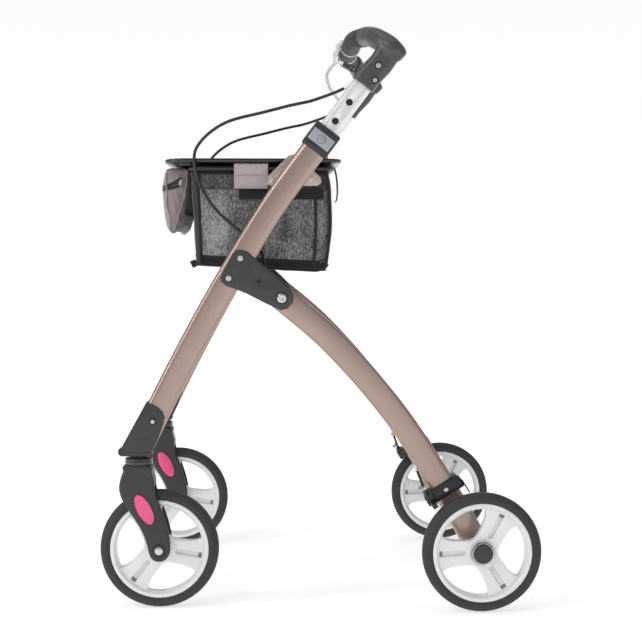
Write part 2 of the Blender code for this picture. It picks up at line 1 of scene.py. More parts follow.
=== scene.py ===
"""The looks of the folding indoor rollator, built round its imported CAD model.

Lengths in the tables below are millimetres in the CAD frame: the walker faces -Y, its left side is +X, the floor is z = 0.
"""

from math import asin, atan2, cos, hypot, pi, radians, sin, sqrt

import bmesh
import bpy
from mathutils import Matrix, Vector, noise
from mathutils.bvhtree import BVHTree


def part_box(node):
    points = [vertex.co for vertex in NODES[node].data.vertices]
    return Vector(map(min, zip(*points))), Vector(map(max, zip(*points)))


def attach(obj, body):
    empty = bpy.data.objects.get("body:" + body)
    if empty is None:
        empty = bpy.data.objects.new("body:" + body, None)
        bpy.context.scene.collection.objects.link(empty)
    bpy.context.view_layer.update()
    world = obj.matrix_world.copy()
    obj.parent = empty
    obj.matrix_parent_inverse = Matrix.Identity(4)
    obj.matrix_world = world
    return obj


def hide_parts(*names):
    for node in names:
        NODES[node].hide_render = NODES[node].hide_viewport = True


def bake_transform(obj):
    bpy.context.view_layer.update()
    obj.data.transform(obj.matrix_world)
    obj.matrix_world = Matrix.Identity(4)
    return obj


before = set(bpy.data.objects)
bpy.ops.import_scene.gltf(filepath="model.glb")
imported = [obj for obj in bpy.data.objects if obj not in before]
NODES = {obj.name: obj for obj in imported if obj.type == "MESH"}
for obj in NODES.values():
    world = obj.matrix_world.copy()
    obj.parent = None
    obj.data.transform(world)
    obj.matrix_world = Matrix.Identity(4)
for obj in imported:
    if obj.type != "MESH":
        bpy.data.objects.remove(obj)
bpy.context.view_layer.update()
MM = 0.001
SCENE = bpy.context.scene
X_AXIS = Vector((1.0, 0.0, 0.0))

# ---- camera ---------------------------------------------------------------------------------
lens = bpy.data.cameras.new("camera")
lens.sensor_width = 36.0
lens.lens = 77.94
lens.clip_end = 60.0
camera = bpy.data.objects.new("camera", lens)
camera.location = (2.3242, -0.0735, 0.5502)
camera.rotation_euler = (pi / 2 - 0.0543, 0.0, pi / 2 - 0.0362)
SCENE.collection.objects.link(camera)
SCENE.camera = camera


# ---- materials --------------------------------------------------------------------------------
class Graph:
    """A short way to write a material's nodes."""

    def __init__(self, name):
        self.material = bpy.data.materials.new(name)
        self.material.use_nodes = True
        self.tree = self.material.node_tree
        self.tree.nodes.clear()
        self.out = self.node("ShaderNodeOutputMaterial")
        self.shader = self.node("ShaderNodeBsdfPrincipled")
        self.link(self.shader.outputs[0], self.out.inputs[0])
        self.where = self.node("ShaderNodeTexCoord").outputs["Object"]

    def node(self, kind, **settings):
        made = self.tree.nodes.new(kind)
        for key, value in settings.items():
            setattr(made, key, value)
        return made

    def link(self, a, b):
        self.tree.links.new(a, b)

    def math(self, operation, a, b=None, clamp=False):
        made = self.node("ShaderNodeMath", operation=operation, use_clamp=clamp)
        for socket, value in zip(made.inputs, (a, b)):
            if value is None:
                continue
            if isinstance(value, (int, float)):
                socket.default_value = value
            else:
                self.link(value, socket)
        return made.outputs[0]

    def noise(self, scale, detail=3.0, rough=0.5, stretch=None, distortion=0.0):
        made = self.node("ShaderNodeTexNoise")
        made.inputs["Scale"].default_value = scale
        made.inputs["Detail"].default_value = detail
        made.inputs["Roughness"].default_value = rough
        made.inputs["Distortion"].default_value = distortion
        source = self.where
        if stretch:
            mapping = self.node("ShaderNodeMapping")
            mapping.inputs["Scale"].default_value = stretch
            self.link(self.where, mapping.inputs["Vector"])
            source = mapping.outputs[0]
        self.link(source, made.inputs["Vector"])
        return made.outputs["Fac"]

    def ramp(self, value, stops):
        made = self.node("ShaderNodeValToRGB")
        elements = made.color_ramp.elements
        while len(elements) < len(stops):
            elements.new(0.5)
        for element, (at, colour) in zip(elements, stops):
            element.position = at
            element.color = (*colour, 1.0)
        self.link(value, made.inputs[0])
        return made.outputs[0]

    def span(self, value, low, high, from_low=0.0, from_high=1.0):
        made = self.node("ShaderNodeMapRange")
        for key, number in (("From Min", from_low), ("From Max", from_high), ("To Min", low), ("To Max", high)):
            made.inputs[key].default_value = number
        self.link(value, made.inputs["Value"])
        return made.outputs[0]

    def mix(self, factor, a, b, blend="MIX"):
        made = self.node("ShaderNodeMix", data_type="RGBA", blend_type=blend)
        for socket, value in ((made.inputs[0], factor), (made.inputs[6], a), (made.inputs[7], b)):
            if isinstance(value, tuple):
                socket.default_value = (*value, 1.0)
            elif isinstance(value, (int, float)):
                socket.default_value = value
            else:
                self.link(value, socket)
        return made.outputs[2]

    def bump(self, height, strength, distance, below=None):
        made = self.node("ShaderNodeBump")
        made.inputs["Strength"].default_value = strength
        made.inputs["Distance"].default_value = distance
        self.link(height, made.inputs["Height"])
        if below is not None:
            self.link(below, made.inputs["Normal"])
        return made.outputs[0]

    def set(self, **values):
        for key, value in values.items():
            socket = self.shader.inputs[key.replace("_", " ")]
            if isinstance(value, (int, float)):
                socket.default_value = value
            elif isinstance(value, tuple):
                socket.default_value = (*value, 1.0)
            else:
                self.link(value, socket)
        return self.material


def shade(colour, factor):
    return tuple(min(1.0, c * factor) for c in colour)


def plain(name, colour, rough, metallic=0.0, vary=0.12, patch=14.0, grain=1400.0, bump=0.2, depth=0.00004, rough_vary=0.08,
          stretch=None, coat=0.0, specular=0.5, sheen=0.0):
    """Moulded plastic, rubber or coated metal: uneven tone, fine grain and uneven gloss."""
    g = Graph(name)
    broad = g.noise(patch, 4.0, 0.6)
    fine = g.noise(grain, 2.0, 0.6, stretch)
    tone = g.mix(0.35, g.ramp(broad, [(0.3, shade(colour, 1 - vary)), (0.7, shade(colour, 1 + vary))]),
                 g.ramp(fine, [(0.35, shade(colour, 1 - vary)), (0.65, shade(colour, 1 + vary))]))
    roughness = g.span(g.noise(patch * 3.1, 5.0, 0.65), max(0.02, rough - rough_vary), rough + rough_vary, 0.25, 0.75)
    g.set(Base_Color=tone, Roughness=roughness, Metallic=metallic, Normal=g.bump(fine, bump, depth))
    g.set(Specular_IOR_Level=specular)
    if coat:
        g.set(Coat_Weight=coat, Coat_Roughness=0.12)
    if sheen:
        g.set(Sheen_Weight=sheen, Sheen_Roughness=0.4)
    return g.material


def woven(name, colour, pitch, vary=0.2, rough=0.9, depth=0.0003, sheen=0.25, contrast=0.35, patch=22.0):
    """Plain-weave cloth: threads up and down and along, each pitch millimetres apart."""
    g = Graph(name)
    split = g.node("ShaderNodeSeparateXYZ")
    g.link(g.where, split.inputs[0])
    turn = 2 * pi / (pitch * MM)
    along = g.math("SINE", g.math("MULTIPLY", g.math("ADD", split.outputs[0], split.outputs[1]), turn))
    up = g.math("SINE", g.math("MULTIPLY", split.outputs[2], turn))
    height = g.math("ADD", g.math("MULTIPLY", g.math("MULTIPLY", along, up), 0.5), 0.5)
    slub = g.noise(420.0, 3.0, 0.7, (1.0, 1.0, 0.25))
    tone = g.ramp(height, [(0.15, shade(colour, 1 - contrast)), (0.85, shade(colour, 1 + contrast * 0.6))])
    tone = g.mix(0.4, tone, g.ramp(g.noise(patch, 4.0, 0.6), [(0.3, shade(colour, 1 - vary)), (0.7, shade(colour, 1 + vary))]))
    tone = g.mix(0.25, tone, g.ramp(slub, [(0.35, shade(colour, 1 - vary)), (0.65, shade(colour, 1 + vary))]))
    crease = g.bump(g.noise(38.0, 3.0, 0.5, (1.0, 1.0, 0.45)), 0.35, 0.004)
    g.set(Base_Color=tone, Roughness=g.span(slub, rough - 0.08, min(1.0, rough + 0.08)), Normal=g.bump(height, 0.5, depth, crease))
    g.set(Sheen_Weight=sheen, Sheen_Roughness=0.5, Specular_IOR_Level=0.3)
    return g.material


def net(name, dark, light, pitch):
    """Knitted net: pale yarn round small dark holes, with flecks of a coarse open weave that are partly the yarn's own
    tone and partly painted glints.
    """
    g = Graph(name)
    split = g.node("ShaderNodeSeparateXYZ")
    g.link(g.where, split.inputs[0])
    turn = 2 * pi / (pitch * MM)
    wobble = g.math("MULTIPLY", g.noise(210.0, 2.0), 2.2)
    along = g.math("SINE", g.math("ADD", g.math("MULTIPLY", g.math("ADD", split.outputs[0], split.outputs[1]), turn), wobble))
    up = g.math("SINE", g.math("ADD", g.math("MULTIPLY", split.outputs[2], turn * 0.8), wobble))
    holes = g.math("ADD", g.math("MULTIPLY", g.math("MULTIPLY", along, up), 0.5), 0.5)
    # Pale flecks in the colour: the yarn's fibres, and painted glints of light on them.
    fleck_and_glint = g.noise(520.0, 2.0, 0.8, (1.0, 1.0, 0.36))
    level = g.math("ADD", g.math("MULTIPLY", holes, 0.45), g.math("MULTIPLY", fleck_and_glint, 0.75), clamp=True)
    cloud = g.noise(24.0, 4.0, 0.6, (1.0, 1.0, 0.5))
    level = g.math("ADD", level, g.span(cloud, -0.14, 0.07, 0.3, 0.7), clamp=True)
    tone = g.ramp(level, [(0.46, dark), (0.58, shade(light, 0.34)), (0.72, light)])
    g.set(Base_Color=tone, Roughness=g.span(fleck_and_glint, 0.7, 0.95), Normal=g.bump(level, 0.6, 0.0005))
    g.set(Sheen_Weight=0.2, Sheen_Roughness=0.5, Specular_IOR_Level=0.35)
    return g.material


def metal(name, colour, rough, metallic=0.9, streak=(1.0, 1.0, 1.0), vary=0.07, bump=0.12, coat=0.0):
    """Anodised or plated metal: brushed streaks, a little cloudiness and uneven gloss."""
    g = Graph(name)
    cloud = g.noise(9.0, 4.0, 0.6)
    brushed = g.noise(420.0, 2.0, 0.5, streak)
    tone = g.mix(0.4, g.ramp(cloud, [(0.3, shade(colour, 1 - vary)), (0.7, shade(colour, 1 + vary))]),
                 g.ramp(brushed, [(0.3, shade(colour, 1 - vary)), (0.7, shade(colour, 1 + vary))]))
    g.set(Base_Color=tone, Metallic=metallic, Roughness=g.span(g.noise(70.0, 3.0, 0.6, streak), rough - 0.03, rough + 0.05, 0.3, 0.7),
          Normal=g.bump(g.noise(160.0, 2.0, 0.5, streak), bump, 0.00004))
    if coat:
        g.set(Coat_Weight=coat, Coat_Roughness=0.15)
    return g.material


def grained(name, colour):
    """Closed-cell foam: tiny open cells over a matt black skin."""
    g = Graph(name)
    cells = g.node("ShaderNodeTexVoronoi")
    cells.inputs["Scale"].default_value = 900.0
    g.link(g.where, cells.inputs["Vector"])
    broad = g.noise(60.0, 4.0, 0.6)
    tone = g.mix(0.4, g.ramp(cells.outputs["Distance"], [(0.1, shade(colour, 0.6)), (0.6, shade(colour, 1.5))]),
                 g.ramp(broad, [(0.3, shade(colour, 0.75)), (0.7, shade(colour, 1.3))]))
    g.set(Base_Color=tone, Roughness=g.span(broad, 0.72, 0.92), Normal=g.bump(cells.outputs["Distance"], 0.35, 0.0003))
    g.set(Sheen_Weight=0.15, Sheen_Roughness=0.6)
    return g.material


def tyre_finish(name, colour):
    """Grey rubber with faint moulding marks and scuffs."""
    g = Graph(name)
    scuffs = g.noise(90.0, 6.0, 0.75)
    fine = g.noise(1600.0, 2.0)
    tone = g.ramp(scuffs, [(0.25, shade(colour, 0.8)), (0.6, colour), (0.8, shade(colour, 1.45))])
    g.set(Base_Color=tone, Roughness=g.span(scuffs, 0.55, 0.8, 0.3, 0.7), Normal=g.bump(fine, 0.3, 0.00005))
    return g.material


CHAMPAGNE = metal("champagne_tube", (0.40, 0.295, 0.255), 0.29, 0.72, (1.0, 0.16, 0.16), bump=0.015, vary=0.04, coat=0.2)
CHAMPAGNE_PLATE = metal("champagne_plate", (0.46, 0.37, 0.33), 0.34, 0.72)
SILVER = metal("silver_tube", (0.80, 0.79, 0.795), 0.36, 0.42, (1.0, 0.2, 0.2), vary=0.025, bump=0.04)
STEEL = metal("plated_steel", (0.62, 0.62, 0.62), 0.25, 0.95, vary=0.12)
DARK = plain("dark_grey_plastic", (0.036, 0.036, 0.038), 0.42, vary=0.1, grain=1900.0, bump=0.28)
ELBOW = plain("elbow_plastic", (0.060, 0.060, 0.062), 0.34, vary=0.1, grain=2200.0, bump=0.2)
BRACKET = plain("bracket_plastic", (0.040, 0.040, 0.042), 0.4, vary=0.08, grain=1900.0, bump=0.22)
FORK_PLASTIC = plain("fork_plastic", (0.036, 0.034, 0.035), 0.46, vary=0.1, grain=1700.0, bump=0.3)
CLAMP_PLASTIC = plain("clamp_plastic", (0.024, 0.028, 0.030), 0.36, vary=0.12, grain=1900.0, bump=0.2)
BLACK = plain("black_plastic", (0.014, 0.014, 0.014), 0.3, vary=0.15, grain=1500.0, bump=0.15)
CAP = plain("bearing_cap", (0.02, 0.02, 0.02), 0.18, vary=0.1, grain=1500.0, bump=0.1, coat=0.5)
TRAY = plain("tray_plastic", (0.016, 0.017, 0.017), 0.28, vary=0.12, grain=1300.0, bump=0.25, coat=0.2)
WIRE = plain("powder_coat", (0.014, 0.014, 0.014), 0.2, vary=0.15, grain=1100.0, bump=0.35)
FOAM = grained("grip_foam_skin", (0.010, 0.0095, 0.010))
TYRE = tyre_finish("tyre_rubber_grey", (0.040, 0.037, 0.037))
RIM = plain("rim_silver_white", (0.83, 0.835, 0.84), 0.34, metallic=0.15, vary=0.04, grain=1300.0, bump=0.12, coat=0.2)
# A darker copy of the rim's white for the notches between the spokes: painted shade of the recesses.
RIM_SHADE = plain("rim_recess", (0.30, 0.305, 0.315), 0.5, vary=0.1, grain=1300.0, bump=0.2)
PINK = plain("reflector_pink", (0.82, 0.07, 0.24), 0.24, vary=0.07, grain=700.0, bump=0.35, depth=0.0002, coat=0.6)
PANEL = plain("clamp_panel_grey", (0.34, 0.36, 0.39), 0.34, vary=0.06, grain=1800.0, bump=0.15)
BUTTON = plain("button_grey", (0.30, 0.32, 0.35), 0.36, vary=0.06, grain=1800.0, bump=0.15)
SHEATH = plain("cable_sheath_black", (0.012, 0.012, 0.012), 0.32, vary=0.15, grain=900.0, bump=0.2)
SILVER_SHEATH = plain("cable_sheath_grey", (0.66, 0.665, 0.67), 0.38, vary=0.03, grain=300.0, bump=0.02)
MESH = net("bag_net", (0.008, 0.008, 0.008), (0.50, 0.49, 0.495), 1.9)
NET_DARK = net("bag_net_dark", (0.008, 0.008, 0.008), (0.20, 0.195, 0.195), 1.9)
TRIM = woven("black_binding", (0.016, 0.016, 0.016), 1.2, rough=0.82)
TAUPE = woven("taupe_cloth", (0.29, 0.245, 0.24), 0.9, vary=0.14, sheen=0.35)
FLAP = woven("flap_cloth", (0.46, 0.40, 0.395), 0.9, vary=0.1, sheen=0.35)
THREAD = plain("stitch_thread", (0.25, 0.21, 0.205), 0.8, vary=0.2, grain=2600.0, bump=0.4)
DARK_THREAD = plain("stitch_thread_black", (0.02, 0.02, 0.02), 0.8, vary=0.2, grain=2600.0, bump=0.4)


# ---- shape tools ------------------------------------------------------------------------------
def smooth_path(points, steps):
    """Points of one smooth curve through the given ones (Catmull-Rom)."""
    points = [Vector(p) for p in points]
    ends = [points[0] * 2 - points[1]] + points + [points[-1] * 2 - points[-2]]
    found = []
    for i in range(1, len(ends) - 2):
        a, b, c, d = ends[i - 1 : i + 3]
        for k in range(steps):
            t = k / steps
            found.append(0.5 * (2 * b + (c - a) * t + (2 * a - 5 * b + 4 * c - d) * t * t + (3 * b - a - 3 * c + d) * t**3))
    return found + [points[-1]]


def smooth_loop(points, steps):
    """The same for a closed outline."""
    points = [Vector(p) for p in points]
    n = len(points)
    found = []
    for i in range(n):
        a, b, c, d = (points[(i + k) % n] for k in (-1, 0, 1, 2))
        for k in range(steps):
            t = k / steps
            found.append(0.5 * (2 * b + (c - a) * t + (2 * a - 5 * b + 4 * c - d) * t * t + (3 * b - a - 3 * c + d) * t**3))
    return found


def rounded(points, radius, steps=6):
    """An outline of (y, z) with each corner turned to an arc-like curve."""
    n = len(points)
    found = []
    for i in range(n):
        p, a, b = Vector(points[i]), Vector(points[i - 1]), Vector(points[(i + 1) % n])
        r = radius[i] if isinstance(radius, (list, tuple)) else radius
        ra = min(r, (a - p).length * 0.48)
        rb = min(r, (b - p).length * 0.48)
        start, end = p + (a - p).normalized() * ra, p + (b - p).normalized() * rb
        for k in range(steps + 1):
            t = k / steps
            found.append(start * (1 - t) ** 2 + p * 2 * t * (1 - t) + end * t * t)
    return found


def object_of(name, verts, faces, sharp=38.0):
    """An object of a mesh given in millimetres."""
    mesh = bpy.data.meshes.new(name)
    mesh.from_pydata([Vector(v) * MM for v in verts], [], faces)
    mesh.validate()
    return wrap(name, mesh, sharp)


def wrap(name, mesh, sharp=38.0):
    work = bmesh.new()
    work.from_mesh(mesh)
    bmesh.ops.recalc_face_normals(work, faces=work.faces)
    work.to_mesh(mesh)
    work.free()
    for polygon in mesh.polygons:
        polygon.use_smooth = True
    mesh.set_sharp_from_angle(angle=radians(sharp))
    mesh.name = name
    made = bpy.data.objects.new(name, mesh)
    SCENE.collection.objects.link(made)
    return made


def skin(name, rings, closed=True, caps=True, sharp=38.0):
    """A surface through rings of equal length."""
    n = len(rings[0])
    verts = [p for ring in rings for p in ring]
    faces = []
    for i in range(len(rings) - 1):
        for k in range(n if closed else n - 1):
            a, b = i * n + k, i * n + (k + 1) % n
            faces.append((a, b, b + n, a + n))
    if caps:
        faces.append(tuple(range(n)))
        faces.append(tuple(range((len(rings) - 1) * n, len(rings) * n)))
    return object_of(name, verts, faces, sharp)


def stadium(width, thick, corner, arcs=8, crown=0.0):
    """Section of a flat-oval tube as (across, out), its flat faces a little crowned."""
    found = []
    for cx, cy, start in ((1, 1, 0), (-1, 1, 90), (-1, -1, 180), (1, -1, 270)):
        for k in range(arcs + 1):
            a = radians(start + 90 * k / arcs)
            found.append((cx * (width / 2 - corner) + corner * cos(a), cy * (thick / 2 - corner) + corner * sin(a)))
        if crown and start in (0, 180):
            for t in (0.25, 0.5, 0.75):
                u = cx * (width / 2 - corner) * (1 - 2 * t)
                found.append((u, cy * (thick / 2 + crown * (1 - (1 - 2 * t) ** 2))))
    return found


def side_sweep(name, path, x, section, ends=(None, None), sharp=38.0):
    """A tube whose middle line is a side view path of (y, z); an end may be closed with a round nose."""
    path = [Vector((x, p[0], p[1])) for p in path]
    rings = []
    for i, p in enumerate(path):
        t = (path[min(i + 1, len(path) - 1)] - path[max(i - 1, 0)]).normalized()
        across = X_AXIS.cross(t)
        rings.append([p + across * u + X_AXIS * v for u, v in section])
    half = max(abs(u) for u, v in section)
    for at, end in ((0, ends[0]), (-1, ends[1])):
        if not end:
            continue
        other = path[1] if at == 0 else path[-2]
        t = (path[at] - other).normalized()
        across = X_AXIS.cross(t)
        nose = []
        for k in range(1, 9):
            a = radians(90 * k / 8)
            wide = max(cos(a), 0.04)
            deep = 1 - 0.10 * (1 - cos(a))
            nose.append([path[at] + t * (half * sin(a) * end) + across * (u * wide) + X_AXIS * (v * deep) for u, v in section])
        rings = rings + nose if at == -1 else nose[::-1] + rings
    return skin(name, rings, sharp=sharp)


def frames_along(path):
    """A steady pair of cross directions at each point of a path."""
    t = (path[1] - path[0]).normalized()
    a = t.orthogonal().normalized()
    found = []
    for i, p in enumerate(path):
        t = (path[min(i + 1, len(path) - 1)] - path[max(i - 1, 0)]).normalized()
        a = (a - t * a.dot(t)).normalized()
        found.append((p, a, t.cross(a)))
    return found


def round_tube(name, path, radius, sides=20, nose=0.0, sharp=50.0):
    """A round tube of one or of varying radius; nose rounds both its ends over that length."""
    path = [Vector(p) for p in path]
    radii = list(radius) if isinstance(radius, (list, tuple)) else [radius] * len(path)
    if nose:
        first, last = (path[0] - path[1]).normalized(), (path[-1] - path[-2]).normalized()
        turn = [(sin(radians(a)), cos(radians(a))) for a in (25, 50, 70, 84)]
        path = ([path[0] + first * (nose * s) for s, c in turn][::-1] + path + [path[-1] + last * (nose * s) for s, c in turn])
        radii = ([radii[0] - nose * (1 - c) if nose < radii[0] * 0.99 else radii[0] * c for s, c in turn][::-1] + radii
                 + [radii[-1] - nose * (1 - c) if nose < radii[-1] * 0.99 else radii[-1] * c for s, c in turn])
    rings = []
    for (p, a, b), r in zip(frames_along(path), radii):
        rings.append([p + a * (r * cos(2 * pi * k / sides)) + b * (r * sin(2 * pi * k / sides)) for k in range(sides)])
    return skin(name, rings, sharp=sharp)


def ribbon(name, path, normals, width, thick, sharp=50.0):
    """A flat strip along a path, lying against the surface with those normals."""
    rings = []
    for i, (p, n) in enumerate(zip(path, normals)):
        t = (path[min(i + 1, len(path) - 1)] - path[max(i - 1, 0)]).normalized()
        n = (n - t * n.dot(t)).normalized()
        side = t.cross(n)
        w, h = width / 2, thick
        rings.append([p + side * w, p + side * (w - 0.3) + n * h, p - side * (w - 0.3) + n * h, p - side * w])
    return skin(name, rings, sharp=sharp)


def turned(name, profile, centre, segments=96, closed=True, axis="X", sharp=30.0):
    """A profile of (radius, along) spun about an axis through centre."""
    centre = Vector(centre)
    rings = []
    for k in range(segments):
        a = 2 * pi * k / segments
        if axis == "X":
            rings.append([centre + Vector((x, r * cos(a), r * sin(a))) for r, x in profile])
        else:
            rings.append([centre + Vector((r * cos(a), r * sin(a), x)) for r, x in profile])
    n = len(profile)
    verts = [p for ring in rings for p in ring]
    faces = []
    for i in range(segments):
        j = (i + 1) % segments
        for k in range(n if closed else n - 1):
            m = (k + 1) % n
            faces.append((i * n + k, i * n + m, j * n + m, j * n + k))
    mesh = bpy.data.meshes.new(name)
    mesh.from_pydata([Vector(v) * MM for v in verts], [], faces)
    work = bmesh.new()
    work.from_mesh(mesh)
    bmesh.ops.remove_doubles(work, verts=work.verts, dist=1e-6)
    bmesh.ops.dissolve_degenerate(work, edges=work.edges, dist=1e-7)
    work.to_mesh(mesh)
    work.free()
    return wrap(name, mesh, sharp)


TO_SIDE = Matrix(((0, 0, 1, 0), (1, 0, 0, 0), (0, 1, 0, 0), (0, 0, 0, 1)))


def plate(name, outlines, x0, x1, bevel=0.8, steps=3, sharp=30.0):
    """A plate of side-view outlines between two planes of X, its edges rounded; inner outlines are holes."""
    curve = bpy.data.curves.new(name, "CURVE")
    curve.dimensions = "2D"
    curve.fill_mode = "BOTH"
    curve.extrude = (abs(x1 - x0) / 2 - bevel) * MM
    curve.bevel_depth = bevel * MM
    curve.bevel_resolution = steps
    curve.offset = -bevel * MM
    for outline in outlines:
        spline = curve.splines.new("POLY")
        spline.points.add(len(outline) - 1)
        for point, p in zip(spline.points, outline):
            point.co = (p[0] * MM, p[1] * MM, 0.0, 1.0)
        spline.use_cyclic_u = True
    holder = bpy.data.objects.new(name, curve)
    SCENE.collection.objects.link(holder)
    bpy.context.view_layer.update()
    mesh = bpy.data.meshes.new_from_object(holder.evaluated_get(bpy.context.evaluated_depsgraph_get()))
    bpy.data.objects.remove(holder)
    bpy.data.curves.remove(curve)
    mesh.transform(Matrix.Translation(((x0 + x1) / 2 * MM, 0, 0)) @ TO_SIDE)
    work = bmesh.new()
    work.from_mesh(mesh)
    bmesh.ops.remove_doubles(work, verts=work.verts, dist=2e-6)
    work.to_mesh(mesh)
    work.free()
    return wrap(name, mesh, sharp)


def apply_modifiers(piece, sharp=None):
    bpy.context.view_layer.update()
    mesh = bpy.data.meshes.new_from_object(piece.evaluated_get(bpy.context.evaluated_depsgraph_get()))
    piece.modifiers.clear()
    piece.data = mesh
    if sharp is not None:
        for polygon in mesh.polygons:
            polygon.use_smooth = True
        mesh.set_sharp_from_angle(angle=radians(sharp))
    return piece


def combine(piece, tools, operation="DIFFERENCE", sharp=30.0):
    """Cuts tools from a piece, or joins them to it."""
    for tool in tools:
        change = piece.modifiers.new("change", "BOOLEAN")
        change.operation = operation
        change.solver = "EXACT"
        change.object = tool
    apply_modifiers(piece, sharp)
    for tool in tools:
        bpy.data.objects.remove(tool)
    return piece


def box_piece(name, low, high, bevel=0.6, steps=3, matrix=None):
    work = bmesh.new()
    bmesh.ops.create_cube(work, size=1.0)
    low, high = Vector(low), Vector(high)
    bmesh.ops.transform(work, matrix=Matrix.Translation((low + high) / 2) @ Matrix.Diagonal((*(high - low), 1.0)), verts=work.verts)
    if bevel:
        bmesh.ops.bevel(work, geom=list(work.edges), offset=bevel, segments=steps, affect="EDGES", profile=0.5)
    mesh = bpy.data.meshes.new(name)
    work.to_mesh(mesh)
    work.free()
    if matrix:
        mesh.transform(matrix)
    mesh.transform(Matrix.Scale(MM, 4))
    return wrap(name, mesh, 30.0)


def finish(piece, body, material, replaces=()):
    piece.data.materials.clear()
    for one in material if isinstance(material, (list, tuple)) else [material]:
        piece.data.materials.append(one)
    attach(piece, body)
    if replaces:
        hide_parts(*replaces)
    return piece


def both(piece, body, material, replaces=()):
    """Finishes a left piece and its mirror image on the right. A star in a name stands for the side."""
    mesh = piece.data.copy()
    mesh.transform(Matrix.Diagonal((-1.0, 1.0, 1.0, 1.0)))
    mesh.flip_normals()
    twin = bpy.data.objects.new(piece.name[:-2] + "_r", mesh)
    mesh.name = twin.name
    SCENE.collection.objects.link(twin)
    for one, side in ((piece, "l"), (twin, "r")):
        finish(one, body.replace("*", side), material, [n.replace("*", side) for n in replaces])
    return piece, twin


def refine(node, name, bevel=0.6, steps=2, angle=32.0):
    """A copy of a CAD node with its flat faces made whole and its edges rounded."""
    mesh = NODES[node].data.copy()
    work = bmesh.new()
    work.from_mesh(mesh)
    bmesh.ops.remove_doubles(work, verts=work.verts, dist=2e-6)
    bmesh.ops.dissolve_limit(work, angle_limit=radians(1.5), verts=work.verts, edges=work.edges)
    bmesh.ops.triangulate(work, faces=[f for f in work.faces if len(f.verts) > 60])
    work.to_mesh(mesh)
    work.free()
    mesh.materials.clear()
    made = bpy.data.objects.new(name, mesh)
    SCENE.collection.objects.link(made)
    if bevel:
        change = made.modifiers.new("bevel", "BEVEL")
        change.width = bevel * MM
        change.segments = steps
        change.limit_method = "ANGLE"
        change.angle_limit = radians(angle)
        change.use_clamp_overlap = True
        weight = made.modifiers.new("weight", "WEIGHTED_NORMAL")
        weight.keep_sharp = True
    return apply_modifiers(made, 44.0)


def screw(name, x, y, z, radius, body, ring=1.25, seat=None, material=None, tall=1.3):
    """A socket-head screw on the outer side, in its dark seat, and its mirror image."""
    head = turned(name + "_l", [(0.0, tall - 0.9), (radius * 0.34, tall - 0.9), (radius * 0.40, tall - 0.05), (radius * 0.46, tall),
                                (radius * 0.80, tall), (radius * 0.95, tall - 0.25), (radius, tall - 0.7), (radius, -0.3), (0.0, -0.3)],
                  (x, y, z), 36, closed=False)
    # The socket's floor and walls inside the head are painted black: painted shade of a deep hole.
    for polygon in head.data.polygons:
        c = polygon.center
        if hypot(c.y / MM - y, c.z / MM - z) < radius * 0.42 and c.x / MM > x:
            polygon.material_index = 1
    both(head, body, [material or STEEL, BLACK])
    if ring:
        around = turned(name + "_seat_l", [(radius * 1.02, 0.1), (radius * ring, 0.35), (radius * ring + 0.5, 0.15), (radius * ring + 0.6, -0.4), (radius * 1.02, -0.4)],
                        (x, y, z), 36)
        both(around, body, seat or BLACK)


# ---- the design's lines, as in the CAD ----------------------------------------------------------
FRAME_X = 220.0
PIVOT_Y, PIVOT_Z = -57.0, 471.0
CLAMP_Y, CLAMP_Z = 2.7, 708.5
SLIDE = Vector((0.0, 0.602, 0.7985)).normalized()
along = lambda t: (CLAMP_Y + SLIDE.y * t, CLAMP_Z + SLIDE.z * t)
FRONT_TUBE = [(13.5, 723.0), (2.7, 708.5), (-33.0, 660.6), (-69.0, 610.0), (-107.0, 549.4), (-152.4, 473.7),
              (-192.5, 401.0), (-230.4, 328.2), (-267.5, 253.0)]
REAR_LEG = [(-73.0, 484.0), (-57.0, 471.0), (7.1, 416.8), (58.2, 363.5), (88.8, 327.7), (116.8, 292.4),
            (142.4, 256.2), (166.0, 220.0), (206.0, 155.5), (243.0, 90.0)]
CABLE = [(211.0, 50.5, 794.0), (208.0, 36.0, 786.5), (205.0, 19.0, 779.5), (203.0, -12.0, 769.0), (202.5, -44.0, 762.0), (202.0, -83.0, 752.0),
         (201.5, -134.0, 739.0), (201.5, -164.0, 722.0), (201.5, -183.0, 702.0), (201.5, -189.0, 684.0), (201.5, -186.0, 660.0),
         (201.5, -175.0, 631.0), (201.5, -155.0, 603.0), (202.0, -130.0, 580.0), (203.5, -104.0, 559.0), (206.0, -89.0, 543.0), (213.4, -84.0, 529.0),
         (214.8, -81.0, 516.0), (215.0, -80.0, 506.0)]
LINK = [(208.0, 53.0, 815.5), (195.0, 40.0, 825.0), (175.0, 30.0, 831.0), (150.0, 25.6, 831.0), (105.0, 20.0, 828.5), (60.0, 18.0, 824.6),
        (0.0, 22.0, 820.5), (-60.0, 28.4, 817.0), (-110.0, 39.0, 811.0), (-150.0, 49.0, 804.7), (-183.0, 55.0, 802.5), (-206.5, 57.0, 806.0)]
LOWER = [(207.0, 140.0, 238.0), (206.0, 146.0, 224.0), (206.0, 149.0, 212.0), (208.0, 152.5, 200.0), (214.0, 156.0, 190.5), (221.0, 158.0, 184.5)]


# ---- cables ------------------------------------------------------------------------------------
def cable(name, route, radius, material, node, body=None, blend=None):
    line = smooth_path(route, 6)
    piece = round_tube(name, line, radius, 14)
    piece.data.materials.append(material)
    if blend:
        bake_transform(piece)
    else:
        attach(piece, body)
    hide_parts(node)
    return piece


for side, sign in (("l", 1), ("r", -1)):
    flip = lambda route: [(sign * p[0], p[1], p[2]) for p in route]
    cable("cable_brake_" + side, flip(CABLE), 2.4, SHEATH, "brake_cable_" + side,
          blend=("handle", "frame", (0, 0, 0.786), (0, 0, 0.56)))
    cable("cable_lower_" + side, flip(LOWER), 2.0, SHEATH, "lower_cable_" + side, body="rear_frame")
cable("cable_link", LINK, 2.6, SILVER_SHEATH, "link_cable", body="handle")


